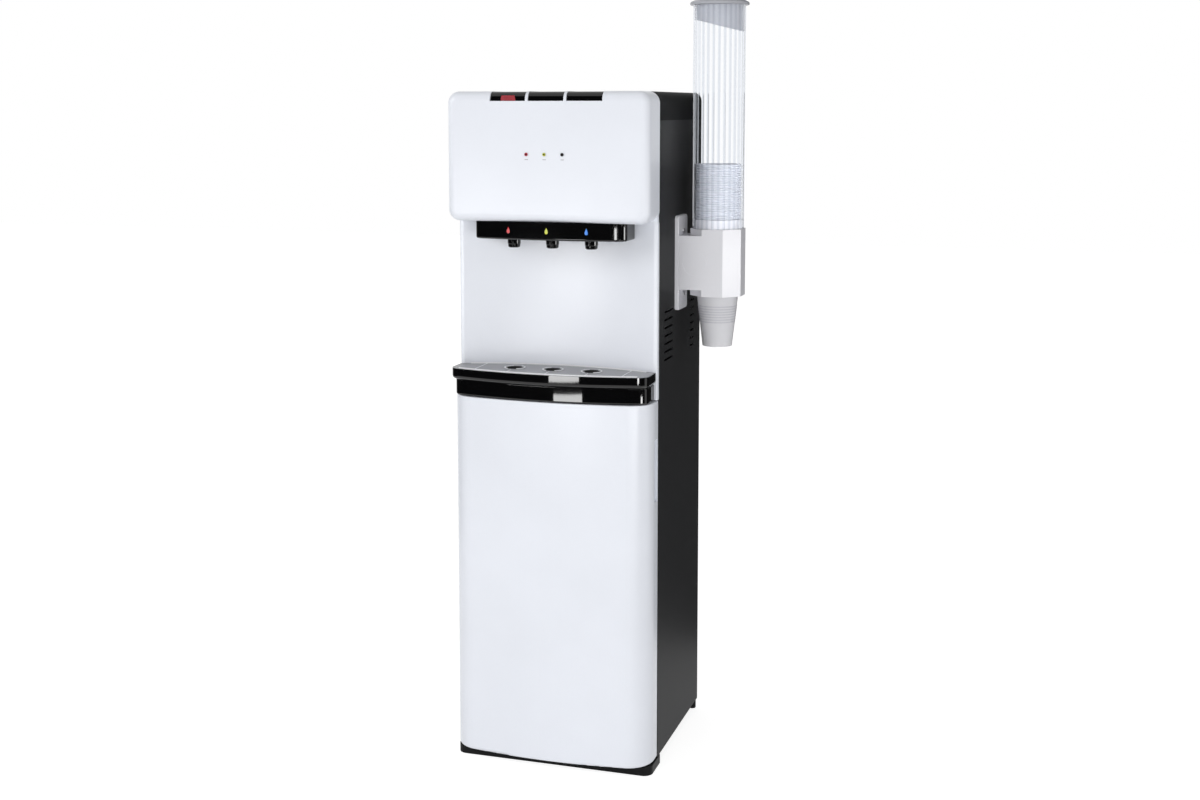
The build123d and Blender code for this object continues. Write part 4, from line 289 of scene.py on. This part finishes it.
def glossed(tree, shader, value, roughness, shares):
    """Roughness that drifts between two shares of its usual value."""
    drift = ranged(tree, value, roughness * shares[0], roughness * shares[1])
    tree.links.new(drift, shader.inputs["Roughness"])


def embossed(tree, shader, value, strength, distance):
    """Fine relief from a value."""
    bump = tree.nodes.new("ShaderNodeBump")
    bump.inputs["Strength"].default_value = strength
    bump.inputs["Distance"].default_value = distance
    tree.links.new(value, bump.inputs["Height"])
    tree.links.new(bump.outputs["Normal"], shader.inputs["Normal"])


def moulded(name, color, roughness, grain, relief, **sockets):
    """Moulded plastic: slow drift of tone, uneven gloss and a fine spark grain."""
    material, tree, shader = principled(name, color, roughness, **sockets)
    toned(tree, shader, noise(tree, DRIFT_SCALE, detail=4.0), color, PLASTIC_TONES)
    fine = noise(tree, grain, detail=2.0)
    glossed(tree, shader, fine, roughness, PLASTIC_GLOSS)
    embossed(tree, shader, fine, relief, GRAIN_DEPTH)
    return material


def drawn_metal(name, color, roughness, stretch):
    """Brushed or drawn metal with fine lines along one way."""
    material, tree, shader = principled(name, color, roughness, Metallic=1.0)
    lines = noise(tree, LINE_SCALE, stretch=stretch)
    toned(tree, shader, lines, color, METAL_TONES)
    glossed(tree, shader, lines, roughness, METAL_GLOSS)
    embossed(tree, shader, lines, LINE_RELIEF, LINE_DEPTH)
    return material


def thick_enamel(name, color, roughness):
    """Thick black enamel over pressed steel, slightly wavy."""
    material, tree, shader = principled(name, color, roughness)
    wave = noise(tree, WAVE_SCALE, detail=4.0)
    toned(tree, shader, wave, color, ENAMEL_TONES)
    glossed(tree, shader, wave, roughness, ENAMEL_GLOSS)
    embossed(tree, shader, wave, WAVE_RELIEF, WAVE_DEPTH)
    return material


def spangled_zinc(name, color):
    """Zinc-coated sheet with crystal spangle."""
    material, tree, shader = principled(name, color, ZINC_ROUGHNESS, Metallic=ZINC_METALLIC)
    spangle = cells(tree, SPANGLE_SCALE)
    toned(tree, shader, spangle.outputs["Color"], color, ZINC_TONES)
    drift = ranged(tree, spangle.outputs["Distance"], *ZINC_ROUGHNESS_RANGE, 0.0, ZINC_CELL_END)
    tree.links.new(drift, shader.inputs["Roughness"])
    return material


def foam_bead(name, color):
    """Moulded bead foam with small dimples between the beads."""
    material, tree, shader = principled(name, color, FOAM_ROUGHNESS)
    beads = cells(tree, FOAM_BEAD_SCALE).outputs["Distance"]
    toned(tree, shader, beads, color, FOAM_TONES)
    embossed(tree, shader, beads, DIMPLE_RELIEF, DIMPLE_DEPTH)
    return material


def lens(name, color, glow):
    """A tinted indicator lens with a faint glow."""
    material, tree, shader = principled(name, color, LENS_ROUGHNESS, Emission_Strength=glow)
    shader.inputs["Emission Color"].default_value = (*color, 1.0)
    toned(tree, shader, noise(tree, SPECK_SCALE, detail=2.0), color, LENS_TONES)
    return material


def ribbed_clear_with_painted_shade(name, low, high, roughness, ior):
    """Clear ribbed tube with darker lines at its ribs, painted shade in the plastic's colour."""
    material, tree, shader = principled(name, high, roughness, Transmission_Weight=1.0, IOR=ior)
    axis_x, axis_y = centre_of("cup_tube")
    place = tree.nodes.new("ShaderNodeTexCoord")
    mapping = tree.nodes.new("ShaderNodeMapping")
    mapping.inputs["Location"].default_value = (-axis_x, -axis_y, 0.0)
    sweep = tree.nodes.new("ShaderNodeTexGradient")
    sweep.gradient_type = "RADIAL"
    count = tree.nodes.new("ShaderNodeMath")
    count.operation = "MULTIPLY"
    count.inputs[1].default_value = TUBE_RIBS
    fold = tree.nodes.new("ShaderNodeMath")
    fold.operation = "PINGPONG"
    fold.inputs[1].default_value = 0.5
    tree.links.new(place.outputs["Object"], mapping.inputs["Vector"])
    tree.links.new(mapping.outputs["Vector"], sweep.inputs["Vector"])
    tree.links.new(sweep.outputs["Fac"], count.inputs[0])
    tree.links.new(count.outputs["Value"], fold.inputs[0])
    tinted(tree, shader, fold.outputs["Value"], low, high, RIB_SHADE_EDGES)
    return material


def clear_plastic(name, color, roughness, transmission, ior):
    """Clear moulded plastic with a faint drift of tone."""
    material, tree, shader = principled(name, color, roughness, Transmission_Weight=transmission, IOR=ior)
    flow = noise(tree, FLOW_SCALE, stretch=FLOW_STRETCH)
    toned(tree, shader, flow, color, CLEAR_TONES)
    glossed(tree, shader, flow, roughness, CLEAR_GLOSS)
    return material


# Finishes of the slots, and of single nodes and pieces. Moulded plastic has its colour, roughness,
# grain scale and strength of relief. Clear plastic has its colour, roughness, clearness and index.
COVER_BLACK = shade(CHARCOAL, 0.6)
BASE_BLACK = shade(CHARCOAL, 0.45)
MATERIALS = {
    "white_shell": moulded("white_shell", WHITE, 0.30, 2600.0, 0.04),
    "black_panel": moulded("black_panel", CHARCOAL, 0.48, 2200.0, 0.12, Specular_IOR_Level=0.06),
    "black_cover": moulded("black_cover", COVER_BLACK, 0.5, 2200.0, 0.12, Specular_IOR_Level=0.012),
    "black_base": moulded("black_base", BASE_BLACK, 0.4, 1800.0, 0.15, Specular_IOR_Level=0.06),
    "black_gloss": moulded("black_gloss", BLACK, 0.03, 900.0, 0.001),
    "spout_dark": moulded("spout_dark", BLACK, 0.04, 900.0, 0.001),
    "silver_grille": moulded("silver_grille", (0.36, 0.36, 0.375), 0.42, 1800.0, 0.1, Metallic=0.35),
    # White of the grille's beads: painted highlights and painted glints on the silver grille
    "grille_painted_highlight": moulded("grille_painted_highlight", (0.86, 0.87, 0.89), 0.3, 1500.0, 0.04),
    "red_lock": moulded("red_lock", (0.38, 0.022, 0.035), 0.3, 1500.0, 0.06),
    "rubber_black": moulded("rubber_black", (0.018, 0.018, 0.018), 0.7, 1200.0, 0.2),
    "hose_silicone": moulded("hose_silicone", (0.76, 0.78, 0.77), 0.35, 700.0, 0.05),
    "grey_plastic": moulded("grey_plastic", (0.42, 0.44, 0.47), 0.45, 1600.0, 0.12),
    "mark_grey": moulded("mark_grey", (0.34, 0.34, 0.36), 0.5, 1500.0, 0.04),
    "cup_grey": moulded("cup_grey", (0.79, 0.79, 0.83), 0.3, 2000.0, 0.05),
    "cup_clear": clear_plastic("cup_clear", (0.82, 0.84, 0.90), 0.2, 0.12, 1.2),
    "cup_single": clear_plastic("cup_single", (0.90, 0.90, 0.93), 0.12, 0.26, 1.25),
    # Darker than the cup's own plastic: painted shade along its grip rings
    "painted_shade_cup_ring": clear_plastic("painted_shade_cup_ring", (0.70, 0.70, 0.75), 0.12, 0.2, 1.25),
    "cap_smoke": clear_plastic("cap_smoke", (0.52, 0.53, 0.57), 0.2, 0.15, 1.2),
    # The tube's darker colour is painted shade in lines along its ribs
    "clear_tube": ribbed_clear_with_painted_shade("clear_tube", (0.87, 0.89, 0.92), (0.985, 0.99, 1.0), 0.02, 1.06),
    "lens_red": lens("lens_red", (0.30, 0.01, 0.02), 0.1),
    "lens_green": lens("lens_green", (0.36, 0.38, 0.02), 0.1),
    "lens_dark": lens("lens_dark", (0.01, 0.01, 0.012), 0.0),
    "lens_core": lens("lens_core", (0.03, 0.02, 0.02), 0.0),
    "zinc_sheet": spangled_zinc("zinc_sheet", (0.52, 0.53, 0.54)),
    "screw_steel": drawn_metal("screw_steel", (0.58, 0.58, 0.6), 0.28, (1.0, 1.0, 1.0)),
    "tank_steel": drawn_metal("tank_steel", (0.62, 0.62, 0.63), 0.3, (0.05, 0.05, 1.0)),
    "copper": drawn_metal("copper", (0.72, 0.36, 0.22), 0.3, (1.0, 0.05, 1.0)),
    "condenser_black": thick_enamel("condenser_black", (0.02, 0.02, 0.021), 0.4),
    "compressor_black": thick_enamel("compressor_black", (0.018, 0.018, 0.02), 0.3),
    "foam": foam_bead("foam", (0.82, 0.82, 0.80)),
}

# Nodes with a finish other than their slot's
NODE_LOOKS = {"pull_cup": "cup_single", "cup_cap": "cap_smoke", "top_cover": "black_cover"}


def dress_frame():
    """Every CAD node gets the finished material of its slot, or its own."""
    rows = frame["record"]["subparts"]
    slots = {row["node"]: row["material_slot"] for row in rows}
    for node, piece in NODES.items():
        piece.data.materials.clear()
        piece.data.materials.append(MATERIALS[NODE_LOOKS.get(node, slots[node])])


def surface_of(node):
    """A node's surface, for finding where marks and beads lie on it."""
    mesh = NODES[node].data
    corners = [vertex.co.copy() for vertex in mesh.vertices]
    return BVHTree.FromPolygons(corners, [tuple(face.vertices) for face in mesh.polygons])


def front_at(surface, x, z):
    """The front of a surface at a place across and a height."""
    return surface.ray_cast(Vector((x, -RAY_REACH, z)), Vector((0.0, 1.0, 0.0)))[0].y


def rear_at(surface, x, z):
    """The rear of a surface at a place across and a height."""
    return surface.ray_cast(Vector((x, RAY_REACH, z)), Vector((0.0, -1.0, 0.0)))[0].y


def right_at(surface, y, z):
    """The right side of a surface at a place along and a height."""
    return surface.ray_cast(Vector((RAY_REACH, y, z)), Vector((-1.0, 0.0, 0.0)))[0].x


def top_at(surface, x, y):
    """The top of a surface at a place across and along."""
    return surface.ray_cast(Vector((x, y, RAY_REACH)), Vector((0.0, 0.0, -1.0)))[0].z


def add_piece(name, shape, material, body):
    """A finished mesh piece that rides on a body."""
    bmesh.ops.recalc_face_normals(shape, faces=shape.faces)
    mesh = bpy.data.meshes.new(name)
    shape.to_mesh(mesh)
    shape.free()
    mesh.materials.append(material)
    piece = bpy.data.objects.new(name, mesh)
    bpy.context.scene.collection.objects.link(piece)
    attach(piece, body)


def join_rows(shape, first, second):
    """Faces between two closed rows of corners."""
    count = len(first)
    for index in range(count):
        following = (index + 1) % count
        shape.faces.new((first[index], first[following], second[following], second[index]))


def plate_shape(outline, front, thickness):
    """A thin upright plate from an outline of x and z points, half sunk into its ground."""
    shape = bmesh.new()
    outer = [shape.verts.new((x, front - thickness, z)) for x, z in outline]
    inner = [shape.verts.new((x, front + thickness, z)) for x, z in outline]
    shape.faces.new(outer)
    shape.faces.new(inner[::-1])
    join_rows(shape, inner, outer)
    return shape


def bead_shape(path, low, high, width=BEAD_WIDTH):
    """A flat bead along a level path."""
    shape = bmesh.new()
    rows = []
    for index, point in enumerate(path):
        before = Vector(path[max(index - 1, 0)])
        after = Vector(path[min(index + 1, len(path) - 1)])
        along = (after - before).normalized()
        side = Vector((-along.y, along.x)) * width / 2
        left = Vector(point) + side
        right = Vector(point) - side
        corners = ((left, low), (right, low), (right, high), (left, high))
        rows.append([shape.verts.new((spot.x, spot.y, z)) for spot, z in corners])
    shape.faces.new(rows[0][::-1])
    shape.faces.new(rows[-1])
    for first, second in zip(rows, rows[1:]):
        join_rows(shape, first, second)
    return shape


def hoop_shape(centre, radius, wall, low, high):
    """A round hoop with a rectangular section."""
    shape = bmesh.new()
    corners = ((radius, low), (radius + wall, low), (radius + wall, high), (radius, high))
    rows = []
    for step in range(HOOP_STEPS):
        turn = 2 * math.pi * step / HOOP_STEPS
        across, along = math.sin(turn), math.cos(turn)
        spots = [(centre[0] + out * across, centre[1] + out * along, z) for out, z in corners]
        rows.append([shape.verts.new(spot) for spot in spots])
    for first, second in zip(rows, rows[1:] + rows[:1]):
        join_rows(shape, first, second)
    return shape


def circle_outline(x, z, radius):
    """Points round a circle."""
    turns = [2 * math.pi * step / OUTLINE_STEPS for step in range(OUTLINE_STEPS)]
    return [(x + radius * math.sin(turn), z + radius * math.cos(turn)) for turn in turns]


def drop_outline(x, z):
    """Points round a water drop with its point up."""
    points = []
    for step in range(OUTLINE_STEPS):
        turn = 2 * math.pi * step / OUTLINE_STEPS
        half_width = DROP_WIDTH / 2 * math.sin(turn / 2) ** DROP_PINCH
        points.append((x + half_width * math.sin(turn), z + DROP_HEIGHT / 2 * math.cos(turn)))
    return points


def build_drops():
    """A printed water drop above each spout."""
    bar = surface_of("spout_bar")
    low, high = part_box("spout_bar")
    level = low.z + DROP_LEVEL_SHARE * (high.z - low.z)
    for name, color in DROP_COLORS.items():
        x = centre_of("spout_" + name)[0]
        shape = plate_shape(drop_outline(x, level), front_at(bar, x, level), DROP_THICKNESS)
        ink = moulded("drop_" + name + "_ink", color, INK_ROUGHNESS, INK_GRAIN, INK_RELIEF)
        add_piece("drop_" + name, shape, ink, "cabinet")


def build_lens_marks():
    """A coloured disc with a dark core on each lens, and a plain dash below it."""
    panel = surface_of("head_panel")
    half_width, half_height = (size / 2 for size in DASH_SIZE)
    for node, color in LENS_COLORS.items():
        low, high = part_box(node)
        x = (low.x + high.x) / 2
        z = (low.z + high.z) / 2
        front = min(low.y, front_at(panel, x + LENS_RING_RADIUS * 2, z))
        ring = plate_shape(circle_outline(x, z, LENS_RING_RADIUS), front, MARK_THICKNESS)
        add_piece(node + "_ring", ring, lens(node + "_tint", color, LENS_GLOW), "cabinet")
        core = plate_shape(circle_outline(x, z, LENS_CORE_RADIUS), front - MARK_THICKNESS, MARK_THICKNESS)
        add_piece(node + "_core", core, MATERIALS["lens_core"], "cabinet")
        level = z - DASH_DROP
        dash = [
            (x - half_width, level - half_height),
            (x + half_width, level - half_height),
            (x + half_width, level + half_height),
            (x - half_width, level + half_height),
        ]
        mark = plate_shape(dash, front_at(panel, x, level), MARK_THICKNESS / 2)
        add_piece(node + "_mark", mark, MATERIALS["mark_grey"], "cabinet")


def build_grille_painted_highlights():
    """Painted highlights as bright beads round the grille's plate and along its grooves, painted glints as
    arcs at its cup rings, and black sleeves in its holes as painted shade.
    """
    plate = surface_of("drip_grille")
    low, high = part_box("drip_grille")
    middle = low.z + OUTLINE_RISE
    top = top_at(plate, BARE_SPOT_X, low.y + BARE_SPOT_INSET)
    # The beads' white is painted highlight along the edges and grooves, and painted glint on the ring arcs
    bright = MATERIALS["grille_painted_highlight"]

    def front_bead(x):
        """A bead's point inside the plate's front edge."""
        return x, front_at(plate, x, middle) + BEAD_INSET

    def rear_bead(x):
        """A bead's point inside the plate's rear edge."""
        return x, rear_at(plate, x, middle) - BEAD_INSET

    reach = high.x - LIP_END_GAP
    xs = [reach * (2 * step / LIP_STEPS - 1) for step in range(LIP_STEPS + 1)]
    for name, edge in (("front", front_bead), ("rear", rear_bead)):
        lip = bead_shape([edge(x) for x in xs], top - BEAD_HEIGHT, top + LIP_HEIGHT)
        add_piece("painted_highlight_lip_" + name, lip, bright, "grille")
    groove = top - GROOVE_DEPTH
    for name, x in (("left", -BEAD_END_X), ("right", BEAD_END_X)):
        bead = bead_shape([front_bead(x), rear_bead(x)], groove, top + BEAD_HEIGHT)
        add_piece("grille_painted_highlight_" + name, bead, bright, "grille")
    for name in DROP_COLORS:
        x, y = centre_of("spout_" + name)
        bead = bead_shape([front_bead(x), (x, y - RING_RADIUS - RING_GAP)], groove, top + BEAD_HEIGHT)
        add_piece("grille_painted_highlight_" + name, bead, bright, "grille")
        # Black sleeve lining each hole: painted shade, so the hole reads dark as it does in shade
        sleeve = hoop_shape((x, y), GRILLE_HOLE_RADIUS - SLEEVE_THICKNESS, SLEEVE_THICKNESS, low.z, high.z)
        add_piece("hole_painted_shade_" + name, sleeve, MATERIALS["rubber_black"], "grille")
        # Arcs beside each cup ring: painted glints where the ring's rounding catches the light
        for side, start in (("a", 90.0), ("b", 270.0)):
            shares = [2 * step / RING_STEPS - 1 for step in range(RING_STEPS + 1)]
            turns = [math.radians(start + RING_ARC_DEG * share) for share in shares]
            arc = [(x + RING_RADIUS * math.sin(turn), y - RING_RADIUS * math.cos(turn)) for turn in turns]
            ring = bead_shape(arc, high.z - BEAD_HEIGHT, high.z + LIP_HEIGHT / 2, RING_WIDTH)
            add_piece("painted_ring_glint_" + name + "_" + side, ring, bright, "grille")


def build_cup_rings():
    """Fine grip rings round the cup that hangs out of the housing, in a darker finish that paints the
    shade along them.
    """
    cup = surface_of("pull_cup")
    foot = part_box("pull_cup")[0].z
    axis = centre_of("cup_tube")
    for index in range(CUP_RING_COUNT):
        z = foot + CUP_RING_START + CUP_RING_PITCH * index
        radius = right_at(cup, axis[1], z) - axis[0]
        start = radius - CUP_RING_SIZE / 2
        ring = hoop_shape(axis, start, CUP_RING_SIZE, z - CUP_RING_SIZE, z + CUP_RING_SIZE)
        add_piece("cup_ring_%d" % index, ring, MATERIALS["painted_shade_cup_ring"], "pull_cup")


def build_ears():
    """White ears that carry the fascia up behind the head's round lower corners."""
    low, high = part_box("fascia")
    half_depth = EAR_DEPTH / 2
    middle = low.y + EAR_SETBACK + half_depth
    radius = EAR_SIZE - EAR_CLEARANCE
    for name, side in (("left", -1.0), ("right", 1.0)):
        corner_x = side * (high.x - EAR_CLEARANCE)
        inner_x = corner_x - side * EAR_SIZE
        outline = [(corner_x, high.z + EAR_RISE)]
        for step in range(EAR_STEPS + 1):
            turn = math.pi / 2 * step / EAR_STEPS
            rise = EAR_SIZE - radius * math.cos(turn)
            outline.append((inner_x + side * radius * math.sin(turn), high.z + rise))
        shape = plate_shape(outline, middle, half_depth)
        add_piece("fascia_ear_" + name, shape, MATERIALS["white_shell"], "cabinet")


def background_rays(tree):
    """One for camera, glossy and transmission rays, which see the white background."""
    path = tree.nodes.new("ShaderNodeLightPath")
    first = tree.nodes.new("ShaderNodeMath")
    first.operation = "MAXIMUM"
    second = tree.nodes.new("ShaderNodeMath")
    second.operation = "MAXIMUM"
    tree.links.new(path.outputs["Is Camera Ray"], first.inputs[0])
    tree.links.new(path.outputs["Is Glossy Ray"], first.inputs[1])
    tree.links.new(first.outputs["Value"], second.inputs[0])
    tree.links.new(path.outputs["Is Transmission Ray"], second.inputs[1])
    return second.outputs["Value"]


def stage_sheet(name, points, material):
    """A flat four-cornered sheet of the studio, which is no part of the object."""
    mesh = bpy.data.meshes.new(name)
    mesh.from_pydata(points, [], [(0, 1, 2, 3)])
    mesh.materials.append(material)
    sheet = bpy.data.objects.new(name, mesh)
    bpy.context.scene.collection.objects.link(sheet)
    return sheet


def build_floor():
    """A wide white floor that keeps the soft shadow."""
    material, tree, shader = principled("floor_white", (FLOOR_GREY,) * 3, FLOOR_ROUGHNESS)
    darker, lighter = ((tone,) * 3 for tone in FLOOR_TONES)
    tinted(tree, shader, noise(tree, FLOOR_NOISE_SCALE), darker, lighter)
    glow = tree.nodes.new("ShaderNodeEmission")
    glow.inputs["Strength"].default_value = FLOOR_WHITE_STRENGTH
    blend = tree.nodes.new("ShaderNodeMixShader")
    share = tree.nodes.new("ShaderNodeMath")
    share.operation = "MULTIPLY"
    share.inputs[1].default_value = FLOOR_WHITE_SHARE
    tree.links.new(background_rays(tree), share.inputs[0])
    tree.links.new(share.outputs["Value"], blend.inputs["Fac"])
    tree.links.new(shader.outputs["BSDF"], blend.inputs[1])
    tree.links.new(glow.outputs["Emission"], blend.inputs[2])
    tree.links.new(blend.outputs["Shader"], tree.nodes["Material Output"].inputs["Surface"])
    corners = [(-1, -1), (1, -1), (1, 1), (-1, 1)]
    stage_sheet("floor", [(x * FLOOR_HALF, y * FLOOR_HALF, -FLOOR_DROP) for x, y in corners], material)


def build_flags():
    """Upright black flags beside the camera's view, mirrored by gloss surfaces alone."""
    for name, (first, second, height) in FLAGS.items():
        points = [(*first, 0.0), (*second, 0.0), (*second, height), (*first, height)]
        cloth = moulded(name + "_cloth", FLAG_BLACK, FLAG_ROUGHNESS, FLAG_GRAIN, FLAG_RELIEF)
        flag = stage_sheet(name, points, cloth)
        flag.visible_camera = False
        flag.visible_diffuse = False
        flag.visible_transmission = False
        flag.visible_shadow = False


def build_world():
    """White background, and a softer white that lights the part."""
    world = bpy.data.worlds.new("studio")
    world.use_nodes = True
    bpy.context.scene.world = world
    tree = world.node_tree
    tree.nodes.clear()
    ambient = tree.nodes.new("ShaderNodeBackground")
    ambient.inputs["Color"].default_value = (1.0, 1.0, 1.0, 1.0)
    ambient.inputs["Strength"].default_value = AMBIENT_STRENGTH
    white = tree.nodes.new("ShaderNodeBackground")
    white.inputs["Color"].default_value = (1.0, 1.0, 1.0, 1.0)
    blend = tree.nodes.new("ShaderNodeMixShader")
    output = tree.nodes.new("ShaderNodeOutputWorld")
    tree.links.new(background_rays(tree), blend.inputs["Fac"])
    tree.links.new(ambient.outputs["Background"], blend.inputs[1])
    tree.links.new(white.outputs["Background"], blend.inputs[2])
    tree.links.new(blend.outputs["Shader"], output.inputs["Surface"])


def soft_box(name, place, aim, width, height, power):
    """A rectangular studio lamp turned towards a point."""
    data = bpy.data.lights.new(name, "AREA")
    data.shape = "RECTANGLE"
    data.size = width
    data.size_y = height
    data.energy = power
    lamp = bpy.data.objects.new(name, data)
    lamp.location = place
    lamp.rotation_euler = (Vector(aim) - Vector(place)).to_track_quat("-Z", "Y").to_euler()
    lamp.visible_camera = False
    bpy.context.scene.collection.objects.link(lamp)
    return lamp


def glint_card(name, spot, facing_deg, levels, reach, width, radiance):
    """An upright bright card, placed where the camera sees it mirrored at a spot of the part."""
    eye = Vector(CAMERA_PLACE)
    ground = Vector(spot)
    distance = (eye.xy - ground).length
    sight = (eye.xy - ground).normalized()
    facing = math.radians(facing_deg)
    normal = Vector((math.sin(facing), -math.cos(facing)))
    place = ground + (2 * sight.dot(normal) * normal - sight) * reach
    low, high = (level - (eye.z - level) * reach / distance for level in levels)
    middle = (low + high) / 2
    height = high - low
    power = radiance * math.pi * width * height
    card = soft_box(name, (*place, middle), (*ground, middle), width, height, power)
    card.visible_diffuse = False
    card.visible_transmission = False


def build_lamps():
    """Key from the front left, fill from the front right, a frontal box and the glint cards."""
    for name, settings in SOFT_BOXES.items():
        soft_box(name, *settings)
    for name, settings in GLINT_CARDS.items():
        glint_card(name, *settings)


def build_camera():
    """Camera at the photograph's viewing angle, tilted down a little so that the lens needs less shift."""
    data = bpy.data.cameras.new("camera")
    data.sensor_width = SENSOR_WIDTH_MM
    data.lens = FOCAL_PIXELS / IMAGE_WIDTH * SENSOR_WIDTH_MM
    data.shift_y = (CENTRE_ROW - IMAGE_HEIGHT / 2) / IMAGE_WIDTH
    data.clip_end = CAMERA_REACH
    camera = bpy.data.objects.new("camera", data)
    camera.location = CAMERA_PLACE
    camera.rotation_euler = (math.radians(90.0 - CAMERA_TILT_DEG), 0.0, math.radians(CAMERA_TURN_DEG))
    bpy.context.scene.collection.objects.link(camera)
    bpy.context.scene.camera = camera


dress_frame()
build_drops()
build_lens_marks()
build_grille_painted_highlights()
build_cup_rings()
build_ears()
build_floor()
build_flags()
build_world()
build_lamps()
build_camera()
bpy.context.scene.view_settings.view_transform = "Standard"
